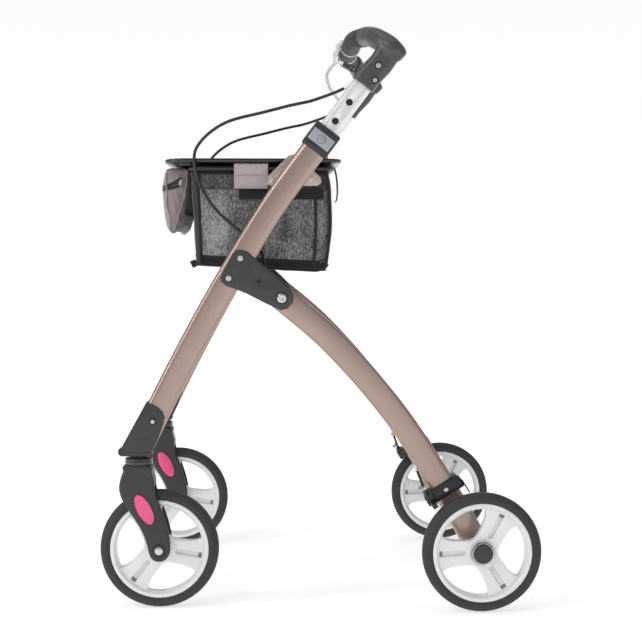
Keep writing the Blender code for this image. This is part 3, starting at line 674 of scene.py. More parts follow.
def sleeve(name, start, end, r0, r1, body, material, mirrored=True):
    """A short tapered sleeve on a cable, such as a boot, a ferrule or an adjuster."""
    start, end = Vector(start), Vector(end)
    path = [start.lerp(end, t) for t in (0, 0.04, 0.1, 0.5, 0.9, 0.96, 1)]
    radii = [r0 * 0.82, r0 * 0.95, r0, (r0 + r1) / 2, r1, r1 * 0.95, r1 * 0.82]
    piece = round_tube(name, path, radii, 20, sharp=55)
    if mirrored:
        return both(piece, body, material)
    return finish(piece, body, material)


cable_line = [Vector(p) for p in CABLE]
sleeve("cable_ferrule_l", (212.6, 53.5, 795.8), (208.6, 38.5, 787.9), 4.0, 3.3, "handle", SILVER)
sleeve("cable_boot_l", (214.9, -80.6, 512.0), (215.0, -79.7, 503.5), 3.6, 4.6, "frame", BLACK)
sleeve("link_boot_start", LINK[0], Vector(LINK[1]).lerp(Vector(LINK[2]), 0.1), 4.6, 3.8, "handle", BLACK, False)
sleeve("link_boot_end", LINK[-1], Vector(LINK[-2]).lerp(Vector(LINK[-3]), 0.2), 4.6, 3.8, "handle", BLACK, False)

# ---- side frames -------------------------------------------------------------------------------
section = stadium(38.5, 20.0, 8.6, 8, 0.5)
tube_skin = side_sweep("front_tube_skin_l", smooth_path(FRONT_TUBE, 8), FRAME_X, section)
combine(tube_skin, [turned("button_hole", [(0.0, 0.0), (7.0, 0.0), (7.0, 14.0), (0.0, 14.0)], (227.4, CLAMP_Y, CLAMP_Z), 32, closed=False)], sharp=38)
both(tube_skin, "frame", CHAMPAGNE, ["front_tube_*"])
section = stadium(39.0, 19.2, 8.4, 8, 0.5)
both(side_sweep("rear_leg_skin_l", smooth_path(REAR_LEG, 7), FRAME_X, section, ends=(0.9, 1.0)), "rear_frame", CHAMPAGNE, ["rear_leg_*"])

both(refine("joint_plate_outer_l", "bracket_outer_l", 1.1, 3), "frame", BRACKET, ["joint_plate_outer_*"])
both(refine("joint_plate_inner_l", "bracket_inner_l", 0.8, 2), "frame", BRACKET, ["joint_plate_inner_*"])
screw("bracket_screw_top", 233.9, -119.0, 531.0, 4.3, "frame", seat=DARK)
screw("bracket_screw_low", 233.9, -136.6, 501.2, 4.3, "frame", seat=DARK)
pivot = turned("pivot_head_l", [(0.0, 0.6), (2.4, 0.6), (2.6, 1.6), (3.4, 1.9), (5.6, 1.8), (6.7, 1.2), (7.0, 0.4), (7.0, -1.2), (0.0, -1.2)],
               (238.2, PIVOT_Y, PIVOT_Z), 40, closed=False)
# The recess in the bolt's head is painted black: painted shade of the hole.
for polygon in pivot.data.polygons:
    if hypot(polygon.center.y / MM - PIVOT_Y, polygon.center.z / MM - PIVOT_Z) < 2.5:
        polygon.material_index = 1
both(pivot, "rear_frame", [STEEL, BLACK], ["pivot_bolt_*"])
both(turned("pivot_ring_l", [(7.3, 0.0), (7.3, 1.1), (8.0, 1.5), (9.6, 1.3), (10.2, 0.3), (10.2, -0.4), (7.3, -0.4)], (236.3, PIVOT_Y, PIVOT_Z), 48),
     "frame", DARK)
both(turned("lock_hole_rim_l", [(3.3, 0.25), (3.9, 0.5), (4.8, 0.3), (5.1, -0.4), (3.3, -0.4)], (236.3, -91.0, 497.0), 36), "frame", DARK)
both(turned("lock_pin_l", [(0.0, 0.0), (3.0, 0.0), (3.0, -3.0), (0.0, -3.0)], (234.0, -91.0, 497.0), 24, closed=False), "frame", BLACK)

for name, body in (("front_cross_tube", "frame"), ("rear_cross_tube", "rear_frame")):
    finish(refine(name, name + "_skin", 0), body, CHAMPAGNE, [name])

both(refine("caster_housing_l", "housing_l", 1.4, 3), "frame", DARK, ["caster_housing_*"])
screw("housing_screw", 234.4, -251.6, 285.0, 3.0, "frame", ring=1.9, seat=BLACK)
lip_outline = [(-303.5, 243.5), (-304.2, 236.5), (-300.0, 232.6), (-256.0, 232.6), (-253.0, 234.5), (-255.0, 238.6), (-299.5, 238.6)]
both(plate("housing_lip_l", [rounded(lip_outline, 2.0)], 204.9, 235.1, 0.9), "frame", DARK)
for k, (a, b) in enumerate((((-279.0, 258.5), (-256.5, 259.5)), ((-256.5, 259.5), (-254.2, 264.5)))):
    line = [Vector((234.35, *a)), Vector((234.35, *b))]
    both(round_tube(f"housing_rib{k}_l", [line[0].lerp(line[1], t) for t in (0, 0.33, 0.66, 1)], 0.55, 8, 0.3), "frame", DARK)

# ---- height clamps ------------------------------------------------------------------------------
clamp_frame = Matrix.Translation((FRAME_X, CLAMP_Y, CLAMP_Z)) @ Matrix(((1, 0, 0, 0), (0, SLIDE.z, SLIDE.y, 0), (0, -SLIDE.y, SLIDE.z, 0), (0, 0, 0, 1)))
both(refine("height_clamp_l", "clamp_l", 1.0, 3), "frame", CLAMP_PLASTIC, ["height_clamp_*"])
panel = box_piece("clamp_panel_l", (13.6, -18.6, -9.6), (15.0, 18.6, 9.8), 0.6, 3, clamp_frame)
hole = turned("hole", [(0.0, -6.0), (6.9, -6.0), (6.9, 6.0), (0.0, 6.0)], (235.0, CLAMP_Y, CLAMP_Z), 40, closed=False)
combine(panel, [hole])
both(panel, "frame", PANEL)
both(turned("clamp_button_ring_l", [(6.6, 0.0), (6.6, 1.2), (7.1, 1.5), (7.8, 1.3), (8.1, 0.6), (8.1, -0.6), (6.6, -0.6)], (234.2, CLAMP_Y, CLAMP_Z), 48),
     "frame", PANEL)
both(turned("clamp_button_cap_l", [(0.0, 3.6), (2.6, 3.55), (4.8, 3.2), (5.9, 2.6), (6.3, 1.7), (6.4, 0.4), (6.4, -2.2), (0.0, -2.2)], (233.0, CLAMP_Y, CLAMP_Z), 40, closed=False),
     "button_*", BUTTON, ["clamp_button_*"])
for k, at in enumerate((-15.0, 16.0)):
    both(box_piece(f"clamp_band{k}_l", (14.0, -21.4, at), (14.9, 21.4, at + 2.2), 0.35, 2, clamp_frame), "frame", CLAMP_PLASTIC)

both(refine("basket_plate_l", "hook_plate_l", 0.5, 2), "frame", CHAMPAGNE_PLATE, ["basket_plate_*"])
screw("hook_screw", 209.8, -71.0, 649.4, 3.6, "frame", ring=0)
screw("hook_rivet", 209.8, -12.8, 650.8, 3.4, "frame", ring=0)

# ---- handle -------------------------------------------------------------------------------------
both(refine("handle_tube_l", "stem_tube_l", 0.35, 2, 25), "handle", SILVER, ["handle_tube_*"])
# A black sheet inside the silver tube, seen through its holes: painted shade of the tube's hollow.
inner_shade = side_sweep("stem_liner_l", [along(-96.0), along(-30.0), along(40.0), along(100.0)], FRAME_X, stadium(26.0, 9.0, 4.2, 5))
both(inner_shade, "handle", BLACK)

# Black rings round the edges of the tube's holes: painted shade at their rims.
for k in (-2, -1, 1, 2):
    here = along(k * 36.0 - 0.8 * k)
    both(turned(f"stem_hole{k + 2}_l", [(4.2, -0.2), (4.2, 0.2), (4.7, 0.32), (5.2, 0.2), (5.3, -0.2)], (226.95, *here), 36), "handle", BLACK)

stem = side_sweep("elbow_l", [along(103.0), along(112.0), along(120.0), (93.0, 823.0), (97.0, 829.0), (103.0, 838.0)], FRAME_X, stadium(38.0, 26.0, 10.0, 7))
TOP = [((227.6, 121.0, 835.0), 11.5), ((227.0, 118.0, 838.0), 13.6), ((226.0, 112.0, 842.5), 15.4), ((223.0, 106.0, 847.8), 16.4), ((216.0, 98.5, 854.0), 16.7), ((203.0, 89.5, 862.0), 16.1),
       ((190.0, 84.0, 866.8), 15.7), ((175.0, 79.0, 870.2), 15.5), ((160.0, 75.2, 872.3), 15.4), ((152.0, 72.9, 872.7), 15.2)]
neck = side_sweep("neck_l", [(88.0, 818.0), (97.0, 831.0), (104.0, 843.0), (108.0, 850.0)], FRAME_X, stadium(33.0, 25.0, 11.0, 7))
top = round_tube("top_l", smooth_path([p for p, r in TOP], 4), [TOP[i // 4][1] * (1 - (i % 4) / 4) + TOP[min(i // 4 + 1, len(TOP) - 1)][1] * (i % 4) / 4 for i in range(4 * (len(TOP) - 1) + 1)],
                 40, 6.0)
for other in (top, neck):
    work = bmesh.new()
    work.from_mesh(stem.data)
    work.from_mesh(other.data)
    work.to_mesh(stem.data)
    work.free()
    bpy.data.objects.remove(other)
change = stem.modifiers.new("remesh", "REMESH")
change.mode = "VOXEL"
change.voxel_size = 1.15 * MM
change = stem.modifiers.new("smooth", "SMOOTH")
change.factor = 0.5
change.iterations = 14
apply_modifiers(stem, 180.0)
# The stem's foot and the collar's end are cut clean after the smoothing.
foot = Vector((FRAME_X, *along(103.8)))
work = bmesh.new()
work.from_mesh(stem.data)
for point, normal in ((foot, Vector((0, -SLIDE.y, -SLIDE.z))), (Vector((152.6, 73.2, 872.7)), Vector((-0.93, -0.36, 0.02)).normalized())):
    cut = bmesh.ops.bisect_plane(work, geom=list(work.verts) + list(work.edges) + list(work.faces), plane_co=point * MM, plane_no=normal, clear_outer=True)
    edges = [e for e in cut["geom_cut"] if isinstance(e, bmesh.types.BMEdge)]
    bmesh.ops.edgeloop_fill(work, edges=edges)
work.to_mesh(stem.data)
work.free()
stem.data.set_sharp_from_angle(angle=radians(50))
both(stem, "handle", ELBOW, ["handle_elbow_*"])
screw("elbow_screw_top", 232.8, 88.2, 819.0, 3.8, "handle", ring=1.5, seat=BLACK)
screw("elbow_screw_low", 232.8, 84.1 - 1.0, 797.3, 3.3, "handle", ring=1.7, seat=BLACK)

half = [(0.0, 58.0, 873.0), (60.0, 57.5, 873.0), (100.0, 58.0, 873.0), (122.0, 61.0, 873.0), (138.0, 66.0, 872.8), (152.0, 72.8, 872.6)]
bar_path = [Vector((-x, y, z)) for x, y, z in reversed(half[1:])] + [Vector(p) for p in half]
foam_path = [Vector((-146.6, 70.2, 872.7))] + bar_path[1:-1] + [Vector((146.6, 70.2, 872.7))]
foam = round_tube("foam_grip", smooth_path(foam_path, 8), 14.5, 48, 0.0)
change = foam.modifiers.new("bevel", "BEVEL")
change.width = 2.0 * MM
change.segments = 4
change.limit_method = "ANGLE"
change.angle_limit = radians(60)
apply_modifiers(foam, 60)
finish(foam, "handle", FOAM, ["grip_foam"])
for k, x in enumerate((148.6, -148.6)):
    collar = turned(f"grip_collar{k}", [(9.2, -2.0), (14.6, -2.0), (15.2, -1.2), (15.2, 1.2), (14.6, 2.0), (9.2, 2.0)], (0, 0, 0), 48)
    direction = Vector((1.0 if x > 0 else -1.0, 0.42, -0.015)).normalized()
    turn = X_AXIS.rotation_difference(direction).to_matrix().to_4x4()
    collar.data.transform(Matrix.Translation(Vector((x, 71.5, 872.7)) * MM) @ turn)
    finish(collar, "handle", BLACK)
NODES["handle_bar"].data.materials.clear()
NODES["handle_bar"].data.materials.append(SILVER)

finish(refine("brake_lever", "lever_blade", 0.6, 3, 30), "lever", SILVER, ["brake_lever"])
both(refine("lever_bracket_l", "bracket_clip_l", 0.5, 2, 30), "handle", SILVER, ["lever_bracket_*"])
both(turned("lever_pin_head_l", [(0.0, 1.0), (1.8, 0.95), (2.5, 0.4), (2.6, -0.8), (0.0, -0.8)], (54.8, 37.5, 873.0), 24, closed=False), "lever", STEEL)


# ---- wheels --------------------------------------------------------------------------------------
def make_wheel(name, x, y, turn, body, nodes):
    z, h = 90.0, 13.0
    profile = [(74.6, -h + 1.4), (78.0, -h + 0.5), (80.4, -h), (82.6, -h + 0.4), (83.4, -h + 1.4), (84.8, -h + 1.9), (87.0, -h + 3.2), (88.8, -h + 5.4), (89.7, -h + 8.4), (90.0, -2.0),
               (90.0, 2.0), (89.7, h - 8.4), (88.8, h - 5.4), (87.0, h - 3.2), (84.8, h - 1.9), (83.4, h - 1.4), (82.6, h - 0.4), (80.4, h), (78.0, h - 0.5), (74.6, h - 1.4)]
    both(turned(name + "_tyre_skin_l", profile, (x, y, z), 128, sharp=24), body, TYRE, [nodes[1]])
    lip = [(74.4, -h + 1.6), (72.6, -h + 1.0), (69.4, -h + 1.2), (68.4, -h + 2.2), (67.4, -h + 5.0), (66.6, -h + 7.8), (66.6, h - 7.8), (67.4, h - 5.0), (68.4, h - 2.2), (69.4, h - 1.2),
           (72.6, h - 1.0), (74.4, h - 1.6)]
    both(turned(name + "_rim_ring_l", lip, (x, y, z), 128, sharp=28), body, RIM)

    def polar(pairs):
        return [(r * cos(radians(a)), r * sin(radians(a))) for r, a in pairs]

    def settle(piece):
        piece.data.transform(Matrix.Translation(Vector((0.0, y, z)) * MM) @ Matrix.Rotation(radians(turn - 62.0), 4, "X"))
        return piece

    spoke_plate = [polar([(67.6, k * 4.0) for k in range(90)])]
    floors = []
    for k in range(3):
        c = 62.0 + 120 * k
        top_arc = [(65.6, c + 24 + 72 * i / 12) for i in range(13)]
        inner = smooth_path([Vector((r, a, 0)) for r, a in ((58.0, c + 97.5), (46.0, c + 95.0), (33.0, c + 86.0), (26.0, c + 74.0), (24.0, c + 60.0),
                                                            (26.0, c + 46.0), (33.0, c + 34.0), (46.0, c + 25.0), (58.0, c + 22.5))], 4)
        spoke_plate.append(rounded(polar(top_arc)[::1] + polar([(p.x, p.y) for p in inner]), 1.4, 3))
        groove = [(64.6, c - 3.7), (64.6, c + 3.7), (45.0, c + 4.9), (26.0, c + 7.6), (24.0, c), (26.0, c - 7.6), (45.0, c - 4.9)]
        spoke_plate.append(rounded(polar(groove), 1.2, 3))
        floors.append([polar([(59.5, c - 4.8), (59.5, c + 4.8), (45.0, c + 6.4), (23.0, c + 11.0), (23.0, c - 11.0), (45.0, c - 6.4)]), RIM, 2.0, "floor"])
        # The notch pieces take the darker rim copy: painted shade in the recesses.
        floors.append([polar([(65.8, c - 4.4), (65.8, c + 4.4), (59.0, c + 4.9), (59.0, c - 4.9)]), RIM_SHADE, 1.2, "notch"])
    spokes = settle(plate(name + "_spokes_l", spoke_plate, x - 7.0, x + 7.0, 1.5, 4))
    both(spokes, body, RIM, [nodes[0]])
    for i, (outline, material, thick, word) in enumerate(floors):
        both(settle(plate(f"{name}_{word}{i}_l", [outline], x - thick, x + thick, 0.3, 1)), body, material)
    hub = [(6.0, -12.0), (13.0, -12.0), (15.2, -11.0), (16.4, -8.6), (18.4, -6.6), (18.4, 6.6), (16.4, 8.6), (15.2, 11.0), (13.0, 12.0), (6.0, 12.0)]
    both(turned(name + "_hub_l", hub, (x, y, z), 64, sharp=35), body, RIM)
    if name == "rear":
        ring = [(17.0, 7.0), (18.6, 8.0), (20.4, 8.0), (21.2, 7.2), (21.2, 5.6), (17.0, 5.6)]
        both(turned(name + "_hub_ring_l", ring, (x, y, z), 64, sharp=35), body, RIM)


make_wheel("front", 218.0, -243.0, -10.0, "front_wheel_*", ("front_rim_*", "front_tyre_*"))
make_wheel("rear", 264.0, 243.0, 62.0, "rear_wheel_*", ("rear_rim_*", "rear_tyre_*"))
both(refine("rear_axle_l", "axle_rear_l", 0.4, 2), "rear_frame", STEEL, ["rear_axle_*"])
both(turned("hub_cap_l", [(0.0, 5.6), (5.0, 5.6), (11.0, 5.3), (14.6, 4.7), (16.4, 3.6), (17.2, 2.2), (17.4, 0.0), (0.0, 0.0)], (276.6, 243.0, 90.0), 64, closed=False), "rear_wheel_*", DARK)
both(turned("rear_spacer_l", [(6.0, 0.0), (10.6, 0.0), (11.0, 1.0), (11.0, 14.4), (9.6, 20.6), (6.0, 20.6)], (230.2, 243.0, 90.0), 40), "rear_frame", DARK)

# ---- front fork ------------------------------------------------------------------------------------
FORK = [(-294.0, 218.2), (-255.5, 218.2), (-253.0, 207.0), (-249.6, 195.0), (-249.0, 181.0), (-244.4, 167.0), (-239.0, 153.0), (-234.4, 139.0), (-230.0, 124.0), (-227.0, 110.0),
        (-226.0, 98.0), (-226.5, 86.0), (-231.0, 77.5), (-237.0, 73.4), (-243.0, 72.3), (-249.5, 73.6), (-255.0, 78.0), (-258.6, 87.0), (-261.4, 99.0), (-266.0, 113.0), (-272.0, 125.5),
        (-279.0, 137.0), (-287.5, 149.0), (-296.0, 163.0), (-301.2, 176.0), (-302.4, 188.0), (-299.6, 201.0), (-296.2, 210.0)]
fork = plate("fork_shell_l", [smooth_loop([Vector((*p, 0)) for p in FORK], 3)], 194.3, 241.7, 4.4, 5, sharp=30)
slot_cut = box_piece("slot_cut", (200.7, -330.0, 40.0), (235.3, -200.0, 186.5), 5.0, 4)
neck_cut = turned("neck_cut", [(0.0, -60.0), (6.4, -60.0), (6.4, 60.0), (0.0, 60.0)], (220.0, -274.0, 218.0), 24, closed=False, axis="Z")
combine(fork, [slot_cut, neck_cut], sharp=32)
both(fork, "caster_*", FORK_PLASTIC, ["fork_*"])
both(turned("bearing_l", [(6.2, 15.0), (8.4, 15.0), (8.6, 11.4), (17.5, 11.0), (20.0, 10.2), (20.9, 9.0), (21.0, 7.6), (19.8, 6.9), (19.8, 6.2), (21.0, 5.6), (21.0, 1.2), (20.2, 0.4), (6.2, 0.4)],
            (220.0, -274.0, 218.6), 64, axis="Z"), "caster_*", CAP, ["caster_stem_*"])
both(turned("stem_pin_l", [(0.0, -28.0), (6.0, -28.0), (6.0, 26.0), (0.0, 26.0)], (220.0, -274.0, 218.6), 32, closed=False, axis="Z"), "caster_*", STEEL)


def oval_at(a, b, tilt, n=56):
    return [(-264.5 + a * cos(2 * pi * k / n) * cos(tilt) - b * sin(2 * pi * k / n) * sin(tilt), 153.0 + a * cos(2 * pi * k / n) * sin(tilt) + b * sin(2 * pi * k / n) * cos(tilt)) for k in range(n)]


tilt = radians(-63)
both(plate("reflector_rim_l", [oval_at(26.6, 12.4, tilt), oval_at(25.0, 10.9, tilt)], 241.0, 242.6, 0.35, 2), "caster_*", FORK_PLASTIC)
both(plate("reflector_lens_l", [oval_at(24.8, 10.7, tilt)], 240.8, 243.4, 1.1, 4), "caster_*", PINK, ["reflector_*"])
both(plate("reflector_inner_rim_l", [oval_at(26.6, 12.4, tilt), oval_at(25.0, 10.9, tilt)], 193.4, 195.0, 0.35, 2), "caster_*", FORK_PLASTIC)
both(plate("reflector_inner_l", [oval_at(24.8, 10.7, tilt)], 192.6, 195.2, 1.1, 4), "caster_*", PINK)
bolt = turned("axle_bolt_l", [(0.0, 4.4), (4.6, 4.3), (5.8, 3.9), (6.4, 3.1), (6.5, 0.0), (0.0, 0.0)], (241.0, -243.0, 90.0), 40, closed=False)
both(bolt, "caster_*", STEEL, ["front_axle_*"])
both(turned("axle_seat_l", [(6.8, 0.4), (6.8, 1.3), (8.6, 1.6), (9.6, 1.2), (9.9, 0.2), (9.9, -0.6), (6.8, -0.6)], (241.4, -243.0, 90.0), 48), "caster_*", BLACK)
both(turned("axle_rod_l", [(0.0, 0.0), (5.0, 0.0), (5.0, 48.0), (0.0, 48.0)], (193.0, -243.0, 90.0), 32, closed=False), "caster_*", STEEL)
both(turned("axle_nut_l", [(0.0, -4.6), (5.2, -4.6), (6.3, -3.6), (6.5, 0.0), (0.0, 0.0)], (195.0, -243.0, 90.0), 6, closed=False), "caster_*", STEEL)

# ---- rear brake ------------------------------------------------------------------------------------
down = Vector((0.0, 0.527, -0.850)).normalized()
across = Vector((0.0, -down.z, down.y))
brake_frame = Matrix.Translation((FRAME_X, 190.0, 181.5)) @ Matrix(((1, 0, 0, 0), (0, across.y, down.y, 0), (0, across.z, down.z, 0), (0, 0, 0, 1)))
at_brake = lambda x, y, z: tuple(brake_frame @ Vector((x, y, z)))
both(refine("brake_clamp_l", "brake_body_l", 1.1, 3), "rear_frame", BLACK, ["brake_clamp_*"])
both(refine("brake_shoe_l", "brake_pad_l", 0.7, 2), "shoe_*", BLACK, ["brake_shoe_*"])
cover = box_piece("brake_cover_l", (9.0, -34.0, -6.0), (18.0, 29.0, 13.0), 3.0, 4, brake_frame)
both(cover, "rear_frame", BLACK)
centre = at_brake(18.0, 1.0, 3.0)
screw("brake_screw", centre[0], centre[1], centre[2], 3.6, "rear_frame", ring=0)
both(box_piece("spring_plate_l", (12.0, 28.4, 2.0), (26.0, 30.2, 24.0), 0.6, 2, brake_frame), "rear_frame", BLACK)
both(box_piece("cable_stay_l", (2.0, -32.0, -17.0), (14.4, -30.4, -5.0), 0.5, 2, brake_frame), "rear_frame", STEEL)
both(box_piece("cable_stop_l", (-9.0, -34.0, -18.4), (15.0, -22.8, -16.6), 0.5, 2, brake_frame), "rear_frame", STEEL)
sleeve("adjuster_l", (206.0, 148.6, 214.0), (206.2, 150.0, 206.0), 3.0, 3.6, "rear_frame", SILVER)
sleeve("adjuster_nut_l", (206.2, 150.1, 205.6), (206.8, 151.1, 203.0), 4.6, 4.6, "rear_frame", STEEL)
sleeve("cable_top_boot_l", LOWER[0], (206.5, 142.6, 231.0), 3.4, 2.8, "rear_frame", BLACK)


# ---- basket frame, tray ------------------------------------------------------------------------------
def rounded_loop(x, y0, y1, z, corner, arcs=10, straight=12):
    """Points round a rectangle with round corners, seen from above."""
    found = []
    corners = ((x - corner, y1 - corner, 0), (-x + corner, y1 - corner, 90), (-x + corner, y0 + corner, 180), (x - corner, y0 + corner, 270))
    for i, (ox, oy, start) in enumerate(corners):
        arc = [Vector((ox + corner * cos(radians(start + 90 * k / arcs)), oy + corner * sin(radians(start + 90 * k / arcs)), z)) for k in range(arcs + 1)]
        found += arc
        nx, ny, nstart = corners[(i + 1) % 4]
        follow = Vector((nx + corner * cos(radians(nstart)), ny + corner * sin(radians(nstart)), z))
        found += [arc[-1].lerp(follow, k / straight) for k in range(1, straight)]
    return found


def loop_tube(name, loop, radius, sides=16):
    n = len(loop)
    rings = []
    for i, p in enumerate(loop):
        t = (loop[(i + 1) % n] - loop[i - 1]).normalized()
        b = Vector((0, 0, 1))
        b = (b - t * b.dot(t)).normalized()
        a = b.cross(t)
        rings.append([p + a * (radius * cos(2 * pi * k / sides)) + b * (radius * sin(2 * pi * k / sides)) for k in range(sides)])
    return skin(name, rings + [rings[0]], caps=False, sharp=60)


def weld(piece, distance=1e-6):
    work = bmesh.new()
    work.from_mesh(piece.data)
    bmesh.ops.remove_doubles(work, verts=work.verts, dist=distance)
    bmesh.ops.recalc_face_normals(work, faces=work.faces)
    work.to_mesh(piece.data)
    work.free()
    return piece


finish(weld(loop_tube("basket_wire", rounded_loop(184.0, -197.0, 20.0, 668.0, 24.0), 4.0)), "frame", WIRE, ["basket_frame"])
box_low, box_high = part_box("tray")
TRAY_Y0, TRAY_Y1, TRAY_X = box_low.y / MM, box_high.y / MM, box_high.x / MM
levels = [(24.0, 672.8), (22.0, 673.0), (20.6, 675.2), (12.0, 676.2), (3.0, 676.8), (0.9, 677.4), (0.15, 678.8), (0.0, 680.6), (0.3, 682.0), (1.1, 682.9), (2.0, 682.6), (2.7, 681.4),
          (4.4, 678.6), (7.4, 676.4), (12.0, 675.5), (16.0, 675.35), (24.0, 675.25)]
rings = [rounded_loop(TRAY_X - inset, TRAY_Y0 + inset, TRAY_Y1 - inset, z, max(30.0 - inset, 6.0)) for inset, z in levels]
for ring, (inset, z) in zip(rings, levels):
    for p in ring:  # the front lip dips a little, as on the real tray
        ahead = max(0.0, (TRAY_Y0 + 34.0 - p.y) / 34.0)
        p.z -= 1.2 * ahead * ahead * max(0.0, 1 - inset / 14.0)
finish(skin("tray_dish", rings, sharp=40), "tray", TRAY, ["tray"])


# ---- bag ------------------------------------------------------------------------------------------------
BAG_X, BAG_Y0, BAG_Y1, BAG_TOP = 178.5, -191.0, 14.0, 671.0
bag_bottom = lambda y: 522.5 + (y - BAG_Y0) / (BAG_Y1 - BAG_Y0) * -11.0


def bag_point(p, t, inset=0.0):
    """A point of the bag's skin: p on its outline seen from above, t from the bottom hem to the top."""
    low = bag_bottom(p.y)
    z = low + (BAG_TOP - low) * t
    z += max(0.0, p.y + 6.0) ** 2 * 0.022 * (1 - t) ** 3
    nx = p.x / BAG_X
    ny = (p.y - (BAG_Y0 + BAG_Y1) / 2) / ((BAG_Y1 - BAG_Y0) / 2)
    on_side = abs(nx) > 0.97
    free = (1 - ny * ny) if on_side else (1 - nx * nx)
    belly = 3.6 * sin(pi * min(1.0, t * 1.15)) * max(0.0, free) ** 0.7
    gather = 1.1 * noise.noise(Vector((p.x * 0.05, p.y * 0.06, t * 3.4))) + 0.7 * sin((p.y + p.x) * 0.16 + 2.0 * t) * (t ** 2) * max(0.0, free) ** 0.5
    out = Vector((1.0 if p.x > 0 else -1.0, 0, 0)) if on_side else Vector((0, 1.0 if ny > 0 else -1.0, 0))
    lean = 4.0 * (1 - t) * (1 if ny < -0.5 else 0)
    q = Vector((p.x, p.y, z)) + out * (belly + gather - inset) - Vector((0, -lean * 0.5, 0))
    q.y -= 6.5 * t * t * max(0.0, min(1.0, (-150.0 - p.y) / 41.0))
    q.y += 7.0 * sin(pi * t) * max(0.0, min(1.0, (p.y + 30.0) / 44.0))
    q.x -= (1 if p.x > 0 else -1) * 3.0 * (1 - t) ** 2
    return q


outline = rounded_loop(BAG_X, BAG_Y0, BAG_Y1, 0.0, 14.0, 8, 34)
LEVELS = 34
rings = []
for k in range(LEVELS + 1):
    rings.append([bag_point(p, k / LEVELS) for p in outline])
floor_ring = [[Vector((p.x * f, (p.y - (BAG_Y0 + BAG_Y1) / 2) * f + (BAG_Y0 + BAG_Y1) / 2, bag_bottom(p.y) - 2.0 * (1 - f) - 1.2)) for p in outline] for f in (0.35, 0.7, 0.93, 0.985)]
bag = skin("bag_body", floor_ring + rings, caps=False, sharp=60)
work = bmesh.new()
work.from_mesh(bag.data)
work.verts.ensure_lookup_table()
bmesh.ops.contextual_create(work, geom=[v for v in work.verts][: len(outline)])
work.to_mesh(bag.data)
work.free()
for polygon in bag.data.polygons:
    polygon.use_smooth = True
    c = polygon.center / MM
    low = bag_bottom(c.y)
    t = (c.z - low) / (BAG_TOP - low)
    index = 0
    if t < 0.085 or c.z < low + 1 or t > 0.93 or c.y < BAG_Y0 + 10 or (abs(c.x) > 160 and c.y > BAG_Y1 - 4 + 7 * sin(pi * t)):
        index = 1
    elif t > 0.77:
        index = 2
    polygon.material_index = index
bag.data.materials.append(MESH)
bag.data.materials.append(TRIM)
bag.data.materials.append(NET_DARK)
change = bag.modifiers.new("thick", "SOLIDIFY")
change.thickness = 1.2 * MM
change.offset = -1.0
apply_modifiers(bag)
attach(bag, "frame")
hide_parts("mesh_bag")


def on_bag(pairs, side=1, out=0.6):
    """Points on the bag's near side from (y, t) pairs."""
    return [bag_point(Vector((BAG_X, y, 0)), t) + Vector((out, 0, 0)) for y, t in pairs]


for k, (y, r) in enumerate(((-7.5, 2.4), (11.5, 2.6), (-183.0, 2.6))):
    line = on_bag([(y, t / 20) for t in range(0, 21)])
    both(round_tube(f"bag_piping{k}_l", line, r, 12, 1.0), "frame", TRIM)
hem = [bag_point(p, 0.0) - Vector((0, 0, 0.4)) for p in outline]
finish(weld(loop_tube("bag_bottom_hem", hem, 3.0, 12)), "frame", TRIM)
hem = [bag_point(p, 0.085) for p in outline]
finish(weld(loop_tube("bag_bottom_seam", hem, 1.0, 8)), "frame", TRIM)
for k, t in enumerate((0.985, 0.93)):
    hem = [bag_point(p, t) for p in outline]
    finish(weld(loop_tube(f"bag_top_hem{k}", hem, 1.8, 10)), "frame", TRIM)
tab = on_bag([(-196.0, 0.03), (-194.0, 0.0), (-191.5, -0.035)], out=-6.0)
both(ribbon("bag_tab_l", smooth_path(tab, 4), [X_AXIS] * 9, 9.0, 1.6), "frame", TRIM)
web = [(y, (629.0 - bag_bottom(y)) / (BAG_TOP - bag_bottom(y))) for y in range(-122, 10, 6)]
line = on_bag(web, out=0.8)
both(ribbon("webbing_l", line, [X_AXIS] * len(line), 17.0, 1.3), "frame", TRIM)


def stitches(name, line, body, material, pitch=3.4, length=2.3, radius=0.34):
    """A row of stitches: short rounded threads end to end along a line."""
    line = [Vector(p) for p in line]
    at = [0.0]
    for a, b in zip(line, line[1:]):
        at.append(at[-1] + (b - a).length)

    def point(d):
        for i in range(len(line) - 1):
            if d <= at[i + 1] or i == len(line) - 2:
                return line[i].lerp(line[i + 1], (d - at[i]) / max(at[i + 1] - at[i], 1e-6))

    verts, faces = [], []
    d = 0.5
    while d + length < at[-1]:
        a, b = point(d), point(d + length)
        t = (b - a).normalized()
        u = t.orthogonal().normalized()
        v = t.cross(u)
        base = len(verts)
        for f, r in ((0.0, 0.45), (0.2, 1.0), (0.8, 1.0), (1.0, 0.45)):
            for k in range(6):
                verts.append(a.lerp(b, f) + (u * cos(pi * k / 3) + v * sin(pi * k / 3)) * radius * r)
        for i in range(3):
            for k in range(6):
                m = (k + 1) % 6
                faces.append((base + i * 6 + k, base + i * 6 + m, base + (i + 1) * 6 + m, base + (i + 1) * 6 + k))
        faces.append(tuple(base + k for k in range(6)))
        faces.append(tuple(base + 18 + k for k in range(6)))
        d += pitch
    piece = object_of(name, verts, faces, 60)
    return both(piece, body, material) if name.endswith("_l") else finish(piece, body, material)


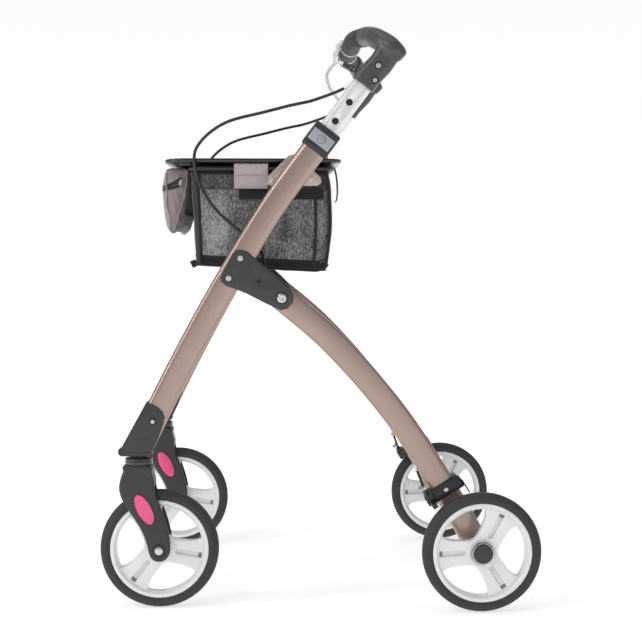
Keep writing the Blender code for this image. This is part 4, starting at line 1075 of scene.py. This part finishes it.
def cloth_strip(name, profile, y0, y1, body, material, slot, thick=1.3, columns=18, sag=0.8, along_y=True):
    """A strip of cloth: its bent profile, in the plane across it, carried from y0 to y1 (or x0 to x1) with slight ripples."""
    path = smooth_path([Vector((a, b, 0)) for a, b in profile], 5)
    rings = []
    for j in range(columns + 1):
        w = y0 + (y1 - y0) * j / columns
        ring = []
        for i, p in enumerate(path):
            edge = i / (len(path) - 1)
            ripple = sag * noise.noise(Vector((w * 0.07, edge * 2.2, 3.1))) * edge
            ring.append(Vector((p.x + ripple, w, p.y)) if along_y else Vector((w, p.x + ripple, p.y)))
        rings.append(ring)
    piece = skin(name, rings, closed=False, caps=False, sharp=60)
    change = piece.modifiers.new("thick", "SOLIDIFY")
    change.thickness = thick * MM
    change.offset = 0.0
    change = piece.modifiers.new("round", "BEVEL")
    change.width = thick * 0.35 * MM
    change.segments = 2
    change.limit_method = "ANGLE"
    change.angle_limit = radians(60)
    return apply_modifiers(piece, 60)


flap = cloth_strip("side_flap_l", [(178.0, 655.0), (177.8, 668.0), (180.0, 674.0), (184.0, 675.2), (188.4, 673.6), (189.8, 667.0), (190.0, 655.0), (189.6, 645.0), (189.2, 637.0)],
                   -129.0, -77.0, "frame", FLAP, "taupe_fabric")
pair = both(flap, "frame", FLAP)
flap_x = lambda z: 190.95 if 640 < z < 668 else 190.55
for k, line in enumerate(([(-127.2, z) for z in range(669, 637, -3)], [(-78.8, z) for z in range(669, 637, -3)], [(y, 639.0) for y in range(-127, -78, 4)], [(y, 656.5) for y in range(-127, -78, 4)],
                          [(y, 658.6) for y in range(-127, -78, 4)])):
    stitches(f"flap_stitch{k}_l", [(flap_x(z), y, z) for y, z in line], "frame", THREAD)

for x in (122.0,):
    strap = cloth_strip("rear_strap_l", [(15.5, 640.0), (15.2, 660.0), (15.6, 671.0), (20.5, 674.6), (26.4, 672.6), (29.6, 664.0), (31.6, 650.0), (32.2, 634.0), (30.8, 622.0), (28.6, 618.0)],
                        x - 16.0, x + 16.0, "frame", FLAP, "taupe_fabric", along_y=False, columns=14)
    pair = both(strap, "frame", FLAP)
buckle = box_piece("rear_buckle_l", (104.0, 16.6, 628.0), (140.0, 19.6, 646.0), 0.8, 2)
both(buckle, "frame", BLACK)

# ---- front pocket -------------------------------------------------------------------------------------------
POCKET = [(-236.5, 667.5), (-229.0, 670.8), (-203.0, 671.0), (-199.5, 669.0), (-199.6, 655.0), (-203.5, 630.0), (-208.0, 609.0), (-213.5, 590.0), (-220.0, 573.0), (-225.5, 566.0), (-229.6, 569.5),
          (-232.5, 584.0), (-235.0, 602.0), (-236.8, 620.0), (-237.6, 645.0)]
pocket = plate("pocket_body", [smooth_loop([Vector((*p, 0)) for p in POCKET], 4)], -148.0, 148.0, 3.0, 3)
change = pocket.modifiers.new("remesh", "REMESH")
change.mode = "VOXEL"
change.voxel_size = 4.6 * MM
apply_modifiers(pocket, 180)
before = [v.co.copy() for v in pocket.data.vertices]
change = pocket.modifiers.new("cloth", "CLOTH")
change.settings.quality = 6
change.settings.mass = 0.2
change.settings.use_pressure = True
change.settings.uniform_pressure_force = 3.0
change.settings.tension_stiffness = 12.0
change.settings.compression_stiffness = 8.0
change.settings.shear_stiffness = 5.0
change.settings.bending_stiffness = 0.6
change.settings.effector_weights.gravity = 0.0
change.point_cache.frame_start, change.point_cache.frame_end = 1, 14
for number in range(1, 15):
    SCENE.frame_set(number)
apply_modifiers(pocket, 180)
SCENE.frame_set(1)
for vert, rest in zip(pocket.data.vertices, before):
    move = vert.co - rest
    limit = 4.0 * MM
    if rest.y > -0.2095 or rest.z > 0.664:
        limit = 0.6 * MM
    if move.length > limit:
        vert.co = rest + move.normalized() * limit
    # Soft folds that run down from the top hem, as the photo's pocket has.
    x, y, z = (c / MM for c in rest)
    fall = max(0.0, min(1.0, (668.0 - z) / 40.0)) * max(0.0, min(1.0, (z - 566.0) / 16.0))
    fold = 1.5 * noise.noise(Vector((x * 0.045, 1.7, z * 0.012))) + 0.8 * sin(x * 0.11 + 0.5 * sin(z * 0.05))
    if y < -215.0:
        vert.co.y -= max(-1.6, min(1.6, fold)) * fall * 0.9 * MM
    if abs(x) > 140.0:
        pleat = 1.3 * sin((y + 0.35 * z) * 0.55) * fall
        vert.co.x += (1 if x > 0 else -1) * (pleat - 0.6) * MM
change = pocket.modifiers.new("round", "SUBSURF")
change.levels = change.render_levels = 1
apply_modifiers(pocket, 180)
finish(pocket, "frame", TAUPE, ["front_pocket"])
bpy.context.view_layer.update()
tree = BVHTree.FromPolygons([v.co for v in pocket.data.vertices], [p.vertices for p in pocket.data.polygons])


def on_pocket(points, out=0.3):
    """These points put on the pocket's surface, with the surface's directions there."""
    places, normals = [], []
    for p in points:
        hit, normal, _, _ = tree.find_nearest(Vector(p) * MM)
        places.append(hit / MM + normal * out)
        normals.append(normal)
    return places, normals


def even(points, step):
    points = [Vector(p) for p in points]
    found = [points[0]]
    for a, b in zip(points, points[1:]):
        n = max(1, int((b - a).length / step))
        found += [a.lerp(b, k / n) for k in range(1, n + 1)]
    return found


def around(drop, tail):
    """A route over the pocket: up on one end, across the front and up on the other end."""
    return ([(150.0, -211.5, drop + tail), (150.5, -222.0, drop + tail * 0.5), (150.0, -233.0, drop + 1.0), (146.0, -239.0, drop), (120.0, -240.0, drop)]
            + [(x, -240.0, drop) for x in range(100, -101, -20)]
            + [(-120.0, -240.0, drop), (-146.0, -239.0, drop), (-150.0, -233.0, drop + 1.0), (-150.5, -222.0, drop + tail * 0.5), (-150.0, -211.5, drop + tail)])


for k, (drop, tail, width, material) in enumerate(((642.5, 12.0, 3.4, TRIM), (636.5, 8.0, 3.6, TRIM), (639.6, 10.0, 2.0, BLACK))):
    line, normals = on_pocket(even(around(drop, tail), 3.0), 0.15 if k < 2 else 0.5)
    finish(ribbon(f"pocket_zip{k}", line, normals, width, 0.9 if k < 2 else 0.7), "frame", material)
for k, drop in enumerate((661.0, 646.6, 632.2)):
    line, normals = on_pocket(even(around(drop, 10.0 if k else 4.0), 3.0), 0.15)
    stitches(f"pocket_stitch{k}", line, "frame", THREAD)
for k, (y0, z0) in enumerate(((-203.5, 664.0),)):
    line, normals = on_pocket(even([(150.0, -204.0, 664.0), (150.0, -205.0, 640.0), (150.0, -211.0, 612.0), (150.0, -219.0, 585.0), (150.0, -226.0, 572.0), (150.0, -231.0, 590.0),
                                    (150.0, -233.5, 612.0), (150.0, -234.5, 632.0)], 3.0), 0.15)
    stitches("pocket_edge_l", line, "frame", THREAD)
    edge, normals = on_pocket(even([(150.0, -200.5, 668.0), (150.0, -201.5, 655.0), (150.0, -205.5, 630.0), (150.0, -210.0, 609.0), (150.0, -215.5, 590.0), (150.0, -222.0, 573.0), (150.0, -227.0, 567.5),
                                    (150.0, -231.5, 572.0), (150.0, -234.5, 590.0), (150.0, -236.5, 612.0), (150.0, -237.5, 640.0), (150.0, -236.5, 665.0)], 3.0), 0.2)
    both(round_tube("pocket_piping_l", smooth_path(edge[::2], 2), 1.5, 10, 0.6), "frame", TAUPE)
line, normals = on_pocket([(150.0, -211.0, 651.0), (150.0, -213.0, 645.0)], 0.8)
both(round_tube("zip_pull_l", even(line, 1.5), 3.0, 12, 2.0), "frame", FLAP)
for k, x in enumerate((110.0, -110.0)):
    line, normals = on_pocket([(x, -241.0, 640.0), (x, -241.0, 628.0)], 1.0)
    finish(ribbon(f"front_zip_pull{k}", even(line, 2.0), [Vector((0, -1, 0))] * len(even(line, 2.0)), 5.0, 1.4), "frame", FLAP)
# A strip of binding joins the pocket to the bag's rim.
hang = cloth_strip("pocket_hanger", [(-194.5, 658.0), (-196.4, 667.4), (-198.6, 669.6), (-200.8, 668.6), (-201.4, 662.0)], -140.0, 140.0, "frame", TRIM, "bag_mesh", along_y=False, columns=30)
finish(hang, "frame", TRIM)

# ---- floor and light ------------------------------------------------------------------------------------------
work = bmesh.new()
bmesh.ops.create_circle(work, cap_ends=True, segments=96, radius=30.0)
mesh = bpy.data.meshes.new("studio_floor")
work.to_mesh(mesh)
work.free()
floor = bpy.data.objects.new("studio_floor", mesh)
floor.location.z = -0.0004
SCENE.collection.objects.link(floor)
g = Graph("floor_white")
g.set(Base_Color=g.ramp(g.noise(3.0, 3.0), [(0.3, (0.62, 0.62, 0.62)), (0.7, (0.65, 0.65, 0.65))]), Roughness=g.span(g.noise(40.0, 3.0), 0.7, 0.85), Normal=g.bump(g.noise(300.0, 2.0), 0.05, 0.0002))
spread = g.node("ShaderNodeVectorMath", operation="LENGTH")
g.link(g.where, spread.inputs[0])
glow = g.span(spread.outputs["Value"], 0.62, 0.99, 0.5, 2.6)
g.tree.nodes[-1].clamp = True
g.link(glow, g.shader.inputs["Emission Strength"])
g.link(g.ramp(g.noise(5.0, 2.0), [(0.3, (0.992, 0.992, 0.992)), (0.7, (1.0, 1.0, 1.0))]), g.shader.inputs["Emission Color"])
floor.data.materials.append(g.material)

world = bpy.data.worlds.new("studio")
SCENE.world = world
world.use_nodes = True
tree_nodes = world.node_tree.nodes
tree_links = world.node_tree.links
background = tree_nodes["Background"]
coordinate = tree_nodes.new("ShaderNodeTexCoord")
separate = tree_nodes.new("ShaderNodeSeparateXYZ")
gradient = tree_nodes.new("ShaderNodeValToRGB")
gradient.color_ramp.elements[0].position = 0.0
gradient.color_ramp.elements[0].color = (1.0, 1.0, 1.0, 1.0)
gradient.color_ramp.elements[1].position = 0.85
gradient.color_ramp.elements[1].color = (0.86, 0.87, 0.88, 1.0)
tree_links.new(coordinate.outputs["Generated"], separate.inputs[0])
tree_links.new(separate.outputs[2], gradient.inputs[0])
tree_links.new(gradient.outputs[0], background.inputs[0])
ray = tree_nodes.new("ShaderNodeLightPath")
level = tree_nodes.new("ShaderNodeMapRange")
level.inputs["To Min"].default_value = 0.42
level.inputs["To Max"].default_value = 1.0
tree_links.new(ray.outputs["Is Camera Ray"], level.inputs["Value"])
tree_links.new(level.outputs[0], background.inputs[1])


def area(name, place, aim, size, power, shape=None):
    light = bpy.data.lights.new(name, "AREA")
    light.shape = "RECTANGLE"
    light.size, light.size_y = size
    light.energy = power
    made = bpy.data.objects.new(name, light)
    made.location = place
    made.rotation_euler = (Vector(aim) - Vector(place)).to_track_quat("-Z", "Y").to_euler()
    SCENE.collection.objects.link(made)
    return made


area("key", (1.9, -1.5, 2.4), (0, 0, 0.45), (1.0, 1.0), 15.0)
area("fill", (2.6, 1.9, 1.3), (0, 0, 0.45), (1.2, 1.2), 4.0)
area("top", (0.2, -0.1, 2.8), (0, 0, 0.4), (2.0, 1.4), 9.0)
area("strip", (0.9, -2.4, 1.4), (0.1, -0.1, 0.5), (0.3, 2.4), 18.0)
area("back", (-2.2, 0.6, 1.8), (0, 0, 0.5), (1.4, 1.4), 7.0)

SCENE.view_settings.view_transform = "Standard"
SCENE.view_settings.look = "None"
